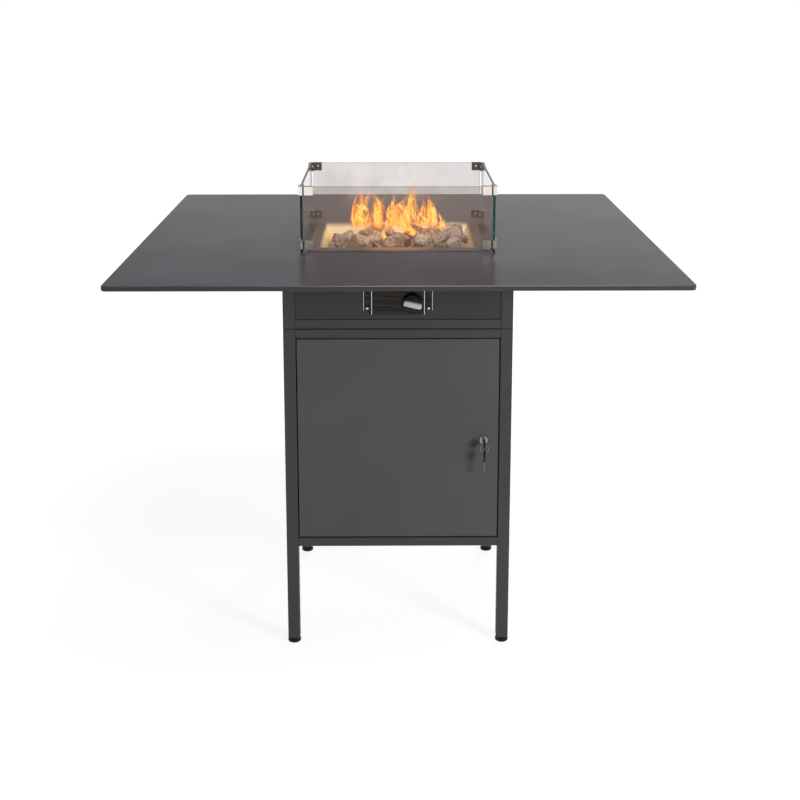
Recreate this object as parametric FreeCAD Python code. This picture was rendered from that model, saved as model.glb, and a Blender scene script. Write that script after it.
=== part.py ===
import FreeCAD, Part
import math
import os
import random

# Bar-height gas fire table. Millimetres, +Z up, front of the cabinet towards -Y.
# The origin is on the floor, under the centre of the square top.

V = FreeCAD.Vector

# Table top
TOP_SIDE = 1300.0
TOP_THICKNESS = 12.0
TABLE_HEIGHT = 1022.0
TOP_CORNER_RADIUS = 14.0
TOP_EDGE_CHAMFER = 1.6

# Cabinet: two stacked modules of square tube
CABINET_WIDTH = 565.0
CABINET_DEPTH = 600.0
TUBE = 30.0
TUBE_WALL = 1.5
TUBE_CORNER = 1.4
RAIL_HEIGHT = 23.0
LEG_BASE = 14.0
SHELF_LEVEL = 266.0
UPPER_MODULE_HEIGHT = 176.0
GASKET_THICKNESS = 1.5
GASKET_INSET = 4.0

# Folded sheet panels
SHEET = 1.5
PANEL_SETBACK = 1.0
PANEL_GAP = 0.3
PANEL_RETURN = 14.0
VENT_COUNT = 6
VENT_LENGTH = 46.0
VENT_WIDTH = 5.0
VENT_PITCH = 70.0
VENT_FROM_EDGE = 44.0

# Round glides under the legs
GLIDE_RADIUS = 16.8
GLIDE_NECK_RADIUS = 14.2
GLIDE_FLARE = 4.0
GLIDE_PLUG_HEIGHT = 18.0
GLIDE_TAPER = 1.8
GLIDE_CLEARANCE = 0.2

# Door
DOOR_GAP = 2.5
DOOR_DEPTH = 18.0
DOOR_STOP_GAP = 0.3
STOP_WIDTH = 11.0
PIVOT_FROM_EDGE = 12.0
PIVOT_FROM_FACE = 6.0
PIVOT_RADIUS = 3.0
PIVOT_CLEARANCE = 0.05
BUSH_RADIUS = 5.0
BUSH_LENGTH = 9.0
BUSH_SEAT_GAP = 0.3
LUG_HEIGHT = 7.5
LUG_MARGIN = 10.0
STIFFENER_WIDTH = 26.0
STIFFENER_SETBACK = 3.0
STOP_END_GAP = 60.0

# Cam lock and keys
LOCK_FROM_EDGE = 36.3
LOCK_BELOW_JOINT = 286.0
LOCK_FLANGE_RADIUS = 10.5
LOCK_FLANGE_HEIGHT = 2.6
LOCK_BODY_RADIUS = 8.0
LOCK_BEVEL = 1.0
LOCK_PLUG_RADIUS = 5.6
LOCK_PLUG_CLEARANCE = 0.05
LOCK_PLUG_PROUD = 0.6
LOCK_NUT_ACROSS = 22.0
LOCK_NUT_DEPTH = 5.0
KEYWAY_DEPTH = 20.0
CAM_LENGTH = 36.0
CAM_WIDTH = 14.0
CAM_THICKNESS = 2.0
CAM_TOE = 3.0
CAM_BEHIND_STOP = 0.6
CAM_SCREW_RADIUS = 5.0
CAM_SCREW_HEIGHT = 3.0
KEY_THICKNESS = 2.0
KEY_BOW = 23.0
KEY_BLADE_WIDTH = 7.5
KEY_BLADE_LENGTH = 33.0
KEY_INSERTED = 17.0
KEY_BOW_BEVEL = 6.0
KEY_TIP_BEVEL = 2.4
KEY_NOTCHES = 5
KEY_NOTCH_PITCH = 4.4
KEY_NOTCH_HALF = 1.8
KEY_NOTCH_STEP = 0.5
KEY_HOLE_RADIUS = 1.8
KEY_HOLE_SIDES = 10
KEY_HOLE_FROM_END = 4.4
RING_RADIUS = 10.0
RING_WIRE_RADIUS = 0.7
RING_HANG_GAP = 0.3
RING_SIDES = 20
RING_WIRE_SIDES = 6

# Control unit on the front of the burner module
CONTROL_WIDTH = 131.0
CONTROL_HEIGHT = 92.0
CONTROL_ABOVE_JOINT = 40.0
CONTROL_DEPTH = 12.0
CONTROL_EAR = 19.0
CONTROL_EAR_LIFT = 8.0
CONTROL_SHEET = 1.5
CONTROL_SCREW_RADIUS = 4.0
CONTROL_SCREW_HEIGHT = 2.4
CONTROL_SCREW_INSET = 5.5
KNOB_X = 34.4
KNOB_RISE = 28.7
KNOB_RADIUS = 25.0
KNOB_DEPTH = 14.0
KNOB_BEVEL = 2.0
KNOB_FACE_WALL = 4.0
KNOB_STANDOFF = 1.2
KNOB_GRIP_LENGTH = 46.0
KNOB_GRIP_WIDTH = 14.0
KNOB_GRIP_DEPTH = 11.0
KNOB_GRIP_TILT = 13.0
KNOB_GRIP_BEVEL = 1.8
KNOB_TRAVEL = 3.0
SPINDLE_RADIUS = 4.0
SPINDLE_CLEARANCE = 0.3
SPINDLE_TAIL = 6.0
SPINDLE_TAIL_GAP = 0.3
COLLAR_RADIUS = 6.0
COLLAR_LENGTH = 3.0
KNOB_HOLE_RADIUS = 6.3
PANEL_KNOB_HOLE_RADIUS = 12.8
PANEL_BUTTON_HOLE_RADIUS = 11.0
BUTTON_X = -45.0
BUTTON_RISE = 57.0
BUTTON_RADIUS = 8.0
BUTTON_TRAVEL = 4.0
BUTTON_PROUD = 7.0
BUTTON_BEVEL = 1.2
BUTTON_CLEARANCE = 0.05
BUTTON_GUIDE = 16.0
BUTTON_END_GAP = 0.5
BEZEL_WIDTH = 4.0
BEZEL_DEPTH = 3.0
BEZEL_BEVEL = 1.0
BARREL_WALL = 1.5
BARREL_LENGTH = 40.0
IGNITER_NUT_ACROSS = 26.0
IGNITER_NUT_DEPTH = 5.0
ROUND_SIDES = 24
BORE_SIDES = 16

# Burner: flanged pan let into the top, a little towards the front
BURNER_Y = -44.0
FLANGE_SIDE = 438.0
FLANGE_THICKNESS = 1.5
PAN_MOUTH_WIDTH = 388.0
PAN_MOUTH_DEPTH = 356.0
PAN_DEPTH = 92.0
PAN_SLOPE = 0.5
PAN_SHEET = 1.5
FEED_HOLE_RADIUS = 12.0
CUTOUT_CLEARANCE = 3.0
BURNER_WIDTH = 210.0
BURNER_DEPTH = 170.0
BURNER_HEIGHT = 20.0
BURNER_SHEET = 1.2
BURNER_BEVEL = 12.0
BURNER_PORT_INSET = 24.0
BURNER_STUB_RADIUS = 9.0
BURNER_STUB_LENGTH = 34.0
BURNER_PORT = 4.0
BURNER_PORTS = 7
BURNER_PORT_PITCH = 26.0
GRATE_RISE = 26.0
GRATE_SHEET = 2.0
GRATE_SLOT_WIDTH = 8.0
GRATE_SLOT_PITCH = 22.0
GRATE_BORDER = 24.0
GRATE_WALL_GAP = 0.6
GRATE_LEG_INSET = 6.0
GRATE_LEG_FROM_END = 30.0
GRATE_LEG_WIDTH = 16.0

# Lava rocks
ROCK_PITCH = 49.0
ROCK_RADIUS = 29.0
ROCK_GAP = 0.5
ROCK_FACETS = 9
ROCK_MERGE = 1.2
ROCK_SEED = 11
ROCK_TURN = 2.39996
ROCK_FACE_FROM = 0.78
ROCK_REACH = 1.6
ROCK_NEAR = 3.2
ROCK_REST_GAP = 0.05
BED_DEPTH_BELOW_RIM = 44.0
BED_JITTER = 6.0
BED_LIFT_LEAST = 14.0
BED_LIFT_MOST = 19.0
BED_SIZES = (0.82, 1.08)
BED_STAGGER = 0.125
HEAP_LIFT = 40.0
HEAP_SIZES = (0.9, 1.1)
# Each place on the heap: shares of the half mouth along x and y, and of the rock radius in height
HEAP = [
    (0.57, 0.48, 0.45), (0.77, 0.54, 0.38), (0.66, 0.26, 0.41), (0.43, 0.12, 0.28),
    (0.78, 0.06, 0.28), (0.24, 0.34, 0.28), (-0.18, 0.44, 0.28), (-0.36, 0.17, 0.24),
    (0.02, -0.07, 0.24), (0.61, -0.26, 0.24), (0.31, -0.35, 0.21), (-0.66, -0.2, 0.21),
    (-0.07, -0.52, 0.21), (-0.47, -0.47, 0.21), (0.75, -0.52, 0.21), (-0.27, -0.19, 0.17),
]

# Gas train under the pan
VALVE_WIDTH = 44.0
VALVE_HEIGHT = 34.0
VALVE_DEPTH = 62.0
VALVE_BEVEL = 4.0
PIPE_RADIUS = 4.0
PIPE_BEND = 12.0
PIPE_BEND_STEPS = 4
PIPE_SIDES = 10
INLET_RADIUS = 6.58
INLET_BORE_RADIUS = 4.0
INLET_LENGTH = 16.0
INLET_NUT = 6.0
INLET_NUT_RADIUS = 9.9
INLET_FROM_VALVE_END = 12.0
INJECTOR_RADIUS = 12.0
INJECTOR_HALF_HEIGHT = 12.0
INJECTOR_FLOOR = 8.0
INJECTOR_BORE_RADIUS = 5.0
SHROUD_LENGTH = 22.0
SHROUD_WINDOW_WIDTH = 8.0
SHROUD_WINDOW_HEIGHT = 8.0
SHROUD_WINDOW_RISE = 1.0
HOSE_HOLE_RADIUS = 14.0
GROMMET_LIP = 3.0
GROMMET_COLLAR = 2.5

# Sensors beside the burner and the reflector under the pan
SENSOR_GAP = 6.0
SENSOR_FOOT = 16.0
SENSOR_HALF_WIDTH = 22.0
SENSOR_RADIUS = 2.8
SENSOR_SPACING = 24.0
SENSOR_HEADROOM = 2.0
SPARK_CERAMIC_LENGTH = 14.0
SPARK_TIP_RADIUS = 1.2
SHIELD_DROP = 14.0
SHIELD_HOLE_RADIUS = 16.0
SPACER_RADIUS = 4.0
SPACER_INSET = 20.0

# Brackets and screws that hold the top
BRACKET_LEG = 28.0
BRACKET_PLATE = 3.0
BRACKET_WIDTH = 40.0
BRACKET_FROM_CENTRE = 150.0
TOP_SCREW_RADIUS = 5.5
TOP_SCREW_HEIGHT = 3.2
TOP_SCREW_FROM_EDGE = 10.0

# Glass wind guard
GUARD_WIDTH = 477.0
GUARD_DEPTH = 452.0
GUARD_HEIGHT = 161.0
GLASS_THICKNESS = 6.0
GLASS_EDGE = 0.8
GLASS_CORNER_GAP = 3.0
CLAMP_HEIGHT = 22.0
CLAMP_LOW = 7.0
CLAMP_PLATE = 22.0
CLAMP_REACH = 36.0
CLAMP_THICKNESS = 3.6
CLAMP_CORNER_RADIUS = 7.0
CLAMP_GROOVE = 1.0
CLAMP_GROOVE_WIDTH = 1.2
CLAMP_PROUD = 0.8
CLAMP_INNER_THICKNESS = 3.0
CLAMP_SCREW_RADIUS = 3.6
CLAMP_SCREW_HEIGHT = 2.0

# Screw heads narrow to this share of their radius
SCREW_CROWN = 0.62

# Levels and places worked out from the sizes above
TOP_UNDERSIDE = TABLE_HEIGHT - TOP_THICKNESS
MODULE_JOINT = TOP_UNDERSIDE - UPPER_MODULE_HEIGHT
UPPER_BASE = MODULE_JOINT + GASKET_THICKNESS
FRONT = -CABINET_DEPTH / 2
HALF_WIDTH = CABINET_WIDTH / 2
OPENING_HALF = HALF_WIDTH - TUBE
OPENING_DEPTH_HALF = CABINET_DEPTH / 2 - TUBE
DOOR_FRONT = FRONT + PANEL_SETBACK
DOOR_HALF = OPENING_HALF - DOOR_GAP
DOOR_BASE = SHELF_LEVEL + RAIL_HEIGHT + DOOR_GAP
DOOR_TOP = MODULE_JOINT - RAIL_HEIGHT - DOOR_GAP
DOOR_BACK = DOOR_FRONT + DOOR_DEPTH
PIVOT_X = -DOOR_HALF + PIVOT_FROM_EDGE
PIVOT_Y = DOOR_FRONT + PIVOT_FROM_FACE
STOP_FRONT = DOOR_BACK + DOOR_STOP_GAP
CAM_FRONT = STOP_FRONT + SHEET + CAM_BEHIND_STOP
UPPER_PANEL_FRONT = FRONT + PANEL_SETBACK
CONTROL_FACE = UPPER_PANEL_FRONT - CONTROL_DEPTH
KNOB_BACK = CONTROL_FACE - KNOB_TRAVEL - KNOB_STANDOFF
RIM = TABLE_HEIGHT + FLANGE_THICKNESS
PAN_FLOOR = RIM - PAN_DEPTH
GRATE_LEVEL = PAN_FLOOR + GRATE_RISE
LOCK_FACE = DOOR_FRONT - LOCK_FLANGE_HEIGHT
LOCK_X = DOOR_HALF - LOCK_FROM_EDGE
LOCK_Z = MODULE_JOINT - LOCK_BELOW_JOINT
CONTROL_BASE = MODULE_JOINT + CONTROL_ABOVE_JOINT
KNOB_Z = CONTROL_BASE + KNOB_RISE
BUTTON_Z = CONTROL_BASE + BUTTON_RISE

parts = {}


def block(x0, x1, y0, y1, z0, z1):
    """A box from its two corners."""
    return Part.makeBox(x1 - x0, y1 - y0, z1 - z0, V(x0, y0, z0))


def rod(x, y, z, radius, length, along=V(0, 0, 1)):
    """A cylinder that starts at x, y, z and runs along a direction."""
    return Part.makeCylinder(radius, length, V(x, y, z), along)


def turned(x, y, z, steps, along, sides):
    """A many-sided turned solid: steps pair a distance along its axis with a radius."""
    u = V(0, 0, 1).cross(along)
    u = V(1, 0, 0) if u.Length < 0.1 else u.normalize()
    w = along.cross(u)
    rings = []
    for place, radius in steps:
        centre = V(x, y, z) + along * place
        turn = [2 * math.pi * (i + 0.5) / sides for i in range(sides)]
        rings.append([centre + u * (radius * math.cos(a)) + w * (radius * math.sin(a)) for a in turn])
    return ring_solid(rings)


def facet_rod(x, y, z, radius, length, along=V(0, 0, 1), sides=12):
    """A many-sided rod, for small and hidden round pieces."""
    return turned(x, y, z, ((0, radius), (length, radius)), along, sides)


def ring_solid(rings, closed=False):
    """A solid with flat faces through a row of rings of points."""
    faces = []
    count = len(rings[0])
    pairs = list(zip(rings, rings[1:]))
    if closed:
        pairs.append((rings[-1], rings[0]))
    for low, high in pairs:
        for i in range(count):
            k = (i + 1) % count
            faces.append(Part.Face(Part.makePolygon([low[i], low[k], high[k], high[i], low[i]])))
    if not closed:
        for ring in (rings[0], rings[-1]):
            faces.append(Part.Face(Part.makePolygon(ring + [ring[0]])))
    return closed_solid(faces)


def closed_solid(faces):
    """Sews faces into one solid that points outwards."""
    shell = Part.makeShell(faces)
    shell.sewShape()
    solid = Part.makeSolid(shell)
    return solid if solid.Volume > 0 else solid.reversed()


def rounded_outline(width, depth, radius):
    """A rounded rectangle about the origin, in the XY plane."""
    a = width / 2
    b = depth / 2
    k = radius * math.sqrt(0.5)
    edges = []
    corners = [(a, b, 1, 1), (-a, b, -1, 1), (-a, -b, -1, -1), (a, -b, 1, -1)]
    for i, (x, y, sx, sy) in enumerate(corners):
        centre = V(x - sx * radius, y - sy * radius, 0)
        on_x = V(x, y - sy * radius, 0)
        on_y = V(x - sx * radius, y, 0)
        middle = centre + V(sx * k, sy * k, 0)
        first, last = (on_x, on_y) if sx * sy > 0 else (on_y, on_x)
        edges.append(Part.Arc(first, middle, last).toShape())
        nx, ny, nsx, nsy = corners[(i + 1) % 4]
        follow = V(nx, ny - nsy * radius, 0) if nsx * nsy > 0 else V(nx - nsx * radius, ny, 0)
        edges.append(Part.LineSegment(last, follow).toShape())
    return Part.Wire(edges)


def rounded_slab(width, depth, radius, z0, z1, x=0.0, y=0.0):
    """A plate with rounded corners, centred on x, y."""
    outline = rounded_outline(width, depth, radius)
    outline.translate(V(x, y, z0))
    return Part.Face(outline).extrude(V(0, 0, z1 - z0))


def bevelled_bar(width, depth, bevel, z0, z1, x=0.0, y=0.0):
    """An upright bar whose four long corners are bevelled."""
    a = width / 2
    b = depth / 2
    points = []
    for sx, sy in ((1, 1), (-1, 1), (-1, -1), (1, -1)):
        pair = [V(x + sx * a, y + sy * (b - bevel), z0), V(x + sx * (a - bevel), y + sy * b, z0)]
        points += pair if sx * sy > 0 else pair[::-1]
    return Part.Face(Part.makePolygon(points + [points[0]])).extrude(V(0, 0, z1 - z0))


def tube_upright(x, y, z0, z1):
    """A square tube standing on end, with broken corners and an open bore."""
    outer = bevelled_bar(TUBE, TUBE, TUBE_CORNER, z0, z1, x, y)
    bore = TUBE - 2 * TUBE_WALL
    return outer.cut(block(x - bore / 2, x + bore / 2, y - bore / 2, y + bore / 2, z0, z1))


def rail(length, height, depth):
    """A rail along X about the origin, with broken corners and an open bore."""
    outer = bevelled_bar(height, depth, TUBE_CORNER, 0, length)
    a = height / 2 - TUBE_WALL
    b = depth / 2 - TUBE_WALL
    tube = outer.cut(block(-a, a, -b, b, 0, length))
    tube.rotate(V(0, 0, 0), V(0, 1, 0), 90)
    tube.translate(V(-length / 2, 0, 0))
    return tube


def rail_ring(z0):
    """Four rails between the uprights, front, rear, left and right."""
    rails = []
    z = z0 + RAIL_HEIGHT / 2
    for side in (-1, 1):
        across = rail(2 * OPENING_HALF, RAIL_HEIGHT, TUBE)
        across.translate(V(0, side * (CABINET_DEPTH - TUBE) / 2, z))
        rails.append(across)
        along = rail(2 * OPENING_DEPTH_HALF, RAIL_HEIGHT, TUBE)
        along.rotate(V(0, 0, 0), V(0, 0, 1), 90)
        along.translate(V(side * (CABINET_WIDTH - TUBE) / 2, 0, z))
        rails.append(along)
    return rails


def corner_places():
    """Centres of the four uprights."""
    x = (CABINET_WIDTH - TUBE) / 2
    y = (CABINET_DEPTH - TUBE) / 2
    return [(-x, -y), (x, -y), (-x, y), (x, y)]


def folded_panel(width, height, depth):
    """A sheet tray: skin towards -Y at y = 0, with four returns behind it."""
    outer = block(-width / 2, width / 2, 0, depth, 0, height)
    front_edges = [e for e in outer.Edges if e.BoundBox.YMax < 0.01]
    outer = outer.makeChamfer(SHEET * 0.6, front_edges)
    hollow = block(-width / 2 + SHEET, width / 2 - SHEET, SHEET, depth, SHEET, height - SHEET)
    return outer.cut(hollow)


def place_panel(panel, side, z0):
    """Turns a panel's skin to one side of the cabinet and sets it back from the tube."""
    turned = panel.copy()
    angle, x, y = {
        "front": (0, 0, FRONT + PANEL_SETBACK),
        "rear": (180, 0, -FRONT - PANEL_SETBACK),
        "left": (-90, -HALF_WIDTH + PANEL_SETBACK, 0),
        "right": (90, HALF_WIDTH - PANEL_SETBACK, 0),
    }[side]
    turned.rotate(V(0, 0, 0), V(0, 0, 1), angle)
    turned.translate(V(x, y, z0))
    return turned


def vent_row(z):
    """Slot cutters through a panel's skin, in a row."""
    cutters = []
    for i in range(VENT_COUNT):
        x = (i - (VENT_COUNT - 1) / 2) * VENT_PITCH
        cutters.append(block(x - VENT_LENGTH / 2, x + VENT_LENGTH / 2, -SHEET, 2 * SHEET,
                             z - VENT_WIDTH / 2, z + VENT_WIDTH / 2))
    return cutters


def make_lower_module():
    """Bottle cabinet: legs, rails, panels and shelf."""
    parts["cabinet_legs"] = [
        tube_upright(x, y, LEG_BASE, MODULE_JOINT) for x, y in corner_places()
    ]
    parts["cabinet_rails"] = rail_ring(SHELF_LEVEL) + rail_ring(MODULE_JOINT - RAIL_HEIGHT)
    low = SHELF_LEVEL + RAIL_HEIGHT + PANEL_GAP
    height = MODULE_JOINT - RAIL_HEIGHT - PANEL_GAP - low
    side = folded_panel(2 * OPENING_DEPTH_HALF - 2 * PANEL_GAP, height, PANEL_RETURN)
    parts["cabinet_panel_left"] = place_panel(side, "left", low)
    parts["cabinet_panel_right"] = place_panel(side, "right", low)
    rear = folded_panel(2 * OPENING_HALF - 2 * PANEL_GAP, height, PANEL_RETURN)
    for level in (VENT_FROM_EDGE, height - VENT_FROM_EDGE):
        rear = rear.cut(vent_row(level))
    parts["cabinet_panel_rear"] = place_panel(rear, "rear", low)
    shelf_top = SHELF_LEVEL + RAIL_HEIGHT
    inner_x = OPENING_HALF - PANEL_GAP
    inner_y = OPENING_DEPTH_HALF - PANEL_GAP
    tray = block(-inner_x, inner_x, -inner_y, inner_y, shelf_top - PANEL_RETURN, shelf_top)
    tray = tray.cut(
        block(-inner_x + SHEET, inner_x - SHEET, -inner_y + SHEET, inner_y - SHEET,
              shelf_top - PANEL_RETURN, shelf_top - SHEET)
    )
    y0 = inner_y / 2
    y1 = y0 + 2 * VENT_WIDTH
    for x in (-VENT_PITCH, 0, VENT_PITCH):
        tray = tray.cut(block(x - VENT_LENGTH / 2, x + VENT_LENGTH / 2, y0, y1,
                              shelf_top - 2 * SHEET, shelf_top + SHEET))
    parts["bottle_shelf"] = tray


def make_glides():
    """Black glides pushed into the leg ends."""
    bore = TUBE - 2 * TUBE_WALL - 2 * GLIDE_CLEARANCE
    glides = []
    for x, y in corner_places():
        steps = ((0, GLIDE_RADIUS - GLIDE_TAPER), (GLIDE_FLARE, GLIDE_RADIUS), (LEG_BASE, GLIDE_NECK_RADIUS))
        foot = turned(0, 0, 0, steps, V(0, 0, 1), ROUND_SIDES)
        plug = block(-bore / 2, bore / 2, -bore / 2, bore / 2, LEG_BASE, LEG_BASE + GLIDE_PLUG_HEIGHT)
        glide = foot.fuse(plug).removeSplitter()
        glide.translate(V(x, y, 0))
        glides.append(glide)
    parts["leg_glides"] = glides


def make_gasket():
    """Thin spacer frame between the two modules."""
    a = HALF_WIDTH - GASKET_INSET
    b = CABINET_DEPTH / 2 - GASKET_INSET
    inner = TUBE - GASKET_INSET * 2
    frame = block(-a, a, -b, b, MODULE_JOINT, UPPER_BASE)
    hole = block(-a + inner, a - inner, -b + inner, b - inner, MODULE_JOINT, UPPER_BASE)
    parts["module_gasket"] = frame.cut(hole)


def make_upper_module():
    """Burner module: posts, rails, panels, floor and the brackets for the top."""
    parts["burner_module_posts"] = [
        tube_upright(x, y, UPPER_BASE, TOP_UNDERSIDE) for x, y in corner_places()
    ]
    parts["burner_module_rails"] = rail_ring(UPPER_BASE) + rail_ring(TOP_UNDERSIDE - RAIL_HEIGHT)
    low = UPPER_BASE + RAIL_HEIGHT + PANEL_GAP
    height = TOP_UNDERSIDE - RAIL_HEIGHT - PANEL_GAP - low
    side = folded_panel(2 * OPENING_DEPTH_HALF - 2 * PANEL_GAP, height, PANEL_RETURN)
    parts["burner_panel_left"] = place_panel(side, "left", low)
    parts["burner_panel_right"] = place_panel(side, "right", low)
    rear = folded_panel(2 * OPENING_HALF - 2 * PANEL_GAP, height, PANEL_RETURN)
    front = rear.copy()
    rear = rear.cut(vent_row(height / 2))
    parts["burner_panel_rear"] = place_panel(rear, "rear", low)
    front = place_panel(front, "front", low)
    start = UPPER_PANEL_FRONT - SHEET
    holes = ((KNOB_X, KNOB_Z, PANEL_KNOB_HOLE_RADIUS), (BUTTON_X, BUTTON_Z, PANEL_BUTTON_HOLE_RADIUS))
    for x, z, radius in holes:
        front = front.cut(facet_rod(x, start, z, radius, 3 * SHEET, V(0, 1, 0)))
    parts["burner_panel_front"] = front
    level = UPPER_BASE + RAIL_HEIGHT
    inner_x = OPENING_HALF - PANEL_GAP
    inner_y = OPENING_DEPTH_HALF - PANEL_GAP
    tray = block(-inner_x, inner_x, -inner_y, inner_y, level - PANEL_RETURN, level)
    tray = tray.cut(
        block(-inner_x + SHEET, inner_x - SHEET, -inner_y + SHEET, inner_y - SHEET,
              level - PANEL_RETURN, level - SHEET)
    )
    start = level - 2 * SHEET
    tray = tray.cut(facet_rod(hose_x(), hose_y(), start, HOSE_HOLE_RADIUS, 3 * SHEET, sides=BORE_SIDES))
    parts["burner_module_floor"] = tray
    parts["hose_grommet"] = make_grommet(level)


def hose_x():
    """The hose hole lies straight under the valve's inlet."""
    return KNOB_X


def hose_y():
    """The inlet hangs from the back half of the valve."""
    return UPPER_PANEL_FRONT + SHEET + VALVE_DEPTH - INLET_FROM_VALVE_END


def make_grommet(level):
    """Rubber ring in the hose hole, with a groove that holds the floor sheet."""
    lip = HOSE_HOLE_RADIUS + GROMMET_LIP
    throat = HOSE_HOLE_RADIUS - GROMMET_LIP
    height = SHEET + 2 * GROMMET_COLLAR
    hole = facet_rod(0, 0, 0, throat, height, sides=BORE_SIDES)
    ring = facet_rod(0, 0, 0, lip, height, sides=BORE_SIDES).cut(hole)
    core = facet_rod(0, 0, GROMMET_COLLAR, HOSE_HOLE_RADIUS, SHEET, sides=BORE_SIDES)
    groove = facet_rod(0, 0, GROMMET_COLLAR, 2 * lip, SHEET, sides=BORE_SIDES).cut(core)
    ring = ring.cut(groove)
    ring.translate(V(hose_x(), hose_y(), level - SHEET - GROMMET_COLLAR))
    return ring


def make_top():
    """Compact slab with bevelled edges and a cut-out for the burner pan."""
    slab = rounded_slab(TOP_SIDE, TOP_SIDE, TOP_CORNER_RADIUS, TOP_UNDERSIDE, TABLE_HEIGHT)
    rims = [
        e for e in slab.Edges
        if e.BoundBox.ZLength < 0.01
    ]
    slab = slab.makeChamfer(TOP_EDGE_CHAMFER, rims)
    hole_w = PAN_MOUTH_WIDTH + 2 * (PAN_SHEET + CUTOUT_CLEARANCE)
    hole_d = PAN_MOUTH_DEPTH + 2 * (PAN_SHEET + CUTOUT_CLEARANCE)
    hole = block(-hole_w / 2, hole_w / 2, BURNER_Y - hole_d / 2, BURNER_Y + hole_d / 2,
                 TOP_UNDERSIDE - 1, TABLE_HEIGHT + 1)
    parts["table_top"] = slab.cut(hole)


def make_top_fixings():
    """Angle brackets on the upper rails and the screws that hold the slab."""
    brackets = []
    screws = []
    for side in (-1, 1):
        inner = side * OPENING_DEPTH_HALF
        for x in (-BRACKET_FROM_CENTRE, BRACKET_FROM_CENTRE):
            left = x - BRACKET_WIDTH / 2
            right = x + BRACKET_WIDTH / 2
            y0, y1 = sorted((inner, inner - side * BRACKET_LEG))
            flat = block(left, right, y0, y1, TOP_UNDERSIDE - BRACKET_PLATE, TOP_UNDERSIDE)
            w0, w1 = sorted((inner, inner - side * BRACKET_PLATE))
            web = block(left, right, w0, w1, TOP_UNDERSIDE - BRACKET_LEG, TOP_UNDERSIDE)
            brackets.append(flat.fuse(web).removeSplitter())
            hole_y = inner - side * (BRACKET_LEG - TOP_SCREW_FROM_EDGE)
            screws.append(screw_head(x, hole_y, TOP_UNDERSIDE - BRACKET_PLATE,
                                     TOP_SCREW_RADIUS, TOP_SCREW_HEIGHT, V(0, 0, -1)))
    parts["top_brackets"] = brackets
    parts["top_screws"] = screws


def pan_frustum(inset, z_top, z_bottom, mouth_z):
    """Solid with the pan's sloped sides between two levels, inset from the mouth."""
    rings = []
    for z in (z_bottom, z_top):
        shrink = (mouth_z - z) * PAN_SLOPE + inset
        w = PAN_MOUTH_WIDTH / 2 - shrink
        d = PAN_MOUTH_DEPTH / 2 - shrink
        rings.append([V(-w, BURNER_Y - d, z), V(w, BURNER_Y - d, z),
                      V(w, BURNER_Y + d, z), V(-w, BURNER_Y + d, z)])
    return ring_solid(rings)


def make_fire_pan():
    """Stainless pan: flat flange on the top, four sloped walls and a floor."""
    wall = PAN_SHEET * math.sqrt(1 + PAN_SLOPE ** 2)
    half = FLANGE_SIDE / 2
    flange = block(-half, half, BURNER_Y - half, BURNER_Y + half, TABLE_HEIGHT, RIM)
    shell = pan_frustum(-wall, RIM, PAN_FLOOR - PAN_SHEET, RIM)
    hollow = pan_frustum(0.0, RIM, PAN_FLOOR, RIM)
    pan = flange.fuse(shell).cut(hollow).removeSplitter()
    start = PAN_FLOOR - 3 * PAN_SHEET
    feed = facet_rod(0, BURNER_Y, start, FEED_HOLE_RADIUS, 6 * PAN_SHEET, sides=BORE_SIDES)
    parts["fire_pan"] = pan.cut(feed)


def make_burner():
    """Flat burner box with rows of ports in its lid, on a feed stub through the pan floor."""
    w = BURNER_WIDTH / 2
    d = BURNER_DEPTH / 2
    z0 = PAN_FLOOR
    z1 = PAN_FLOOR + BURNER_HEIGHT
    t = BURNER_SHEET
    box = bevelled_bar(2 * w, 2 * d, BURNER_BEVEL, z0, z1, 0, BURNER_Y)
    inner = bevelled_bar(2 * (w - t), 2 * (d - t), BURNER_BEVEL - t, z0 + t, z1 - t, 0, BURNER_Y)
    foot = z0 - BURNER_STUB_LENGTH
    stub = facet_rod(0, BURNER_Y, foot, BURNER_STUB_RADIUS, BURNER_STUB_LENGTH, sides=BORE_SIDES)
    reach = BURNER_STUB_LENGTH + 3 * t
    bore = facet_rod(0, BURNER_Y, foot - t, BURNER_STUB_RADIUS - t, reach, sides=BORE_SIDES)
    burner = box.fuse(stub).cut([inner, bore])
    ports = []
    half = BURNER_PORT / 2
    for row in (-1, 1):
        for i in range(BURNER_PORTS):
            x = (i - (BURNER_PORTS - 1) / 2) * BURNER_PORT_PITCH
            y = BURNER_Y + row * (d - BURNER_PORT_INSET)
            ports.append(block(x - half, x + half, y - half, y + half, z1 - 2 * t, z1 + t))
    parts["burner_box"] = burner.cut(ports)


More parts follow.
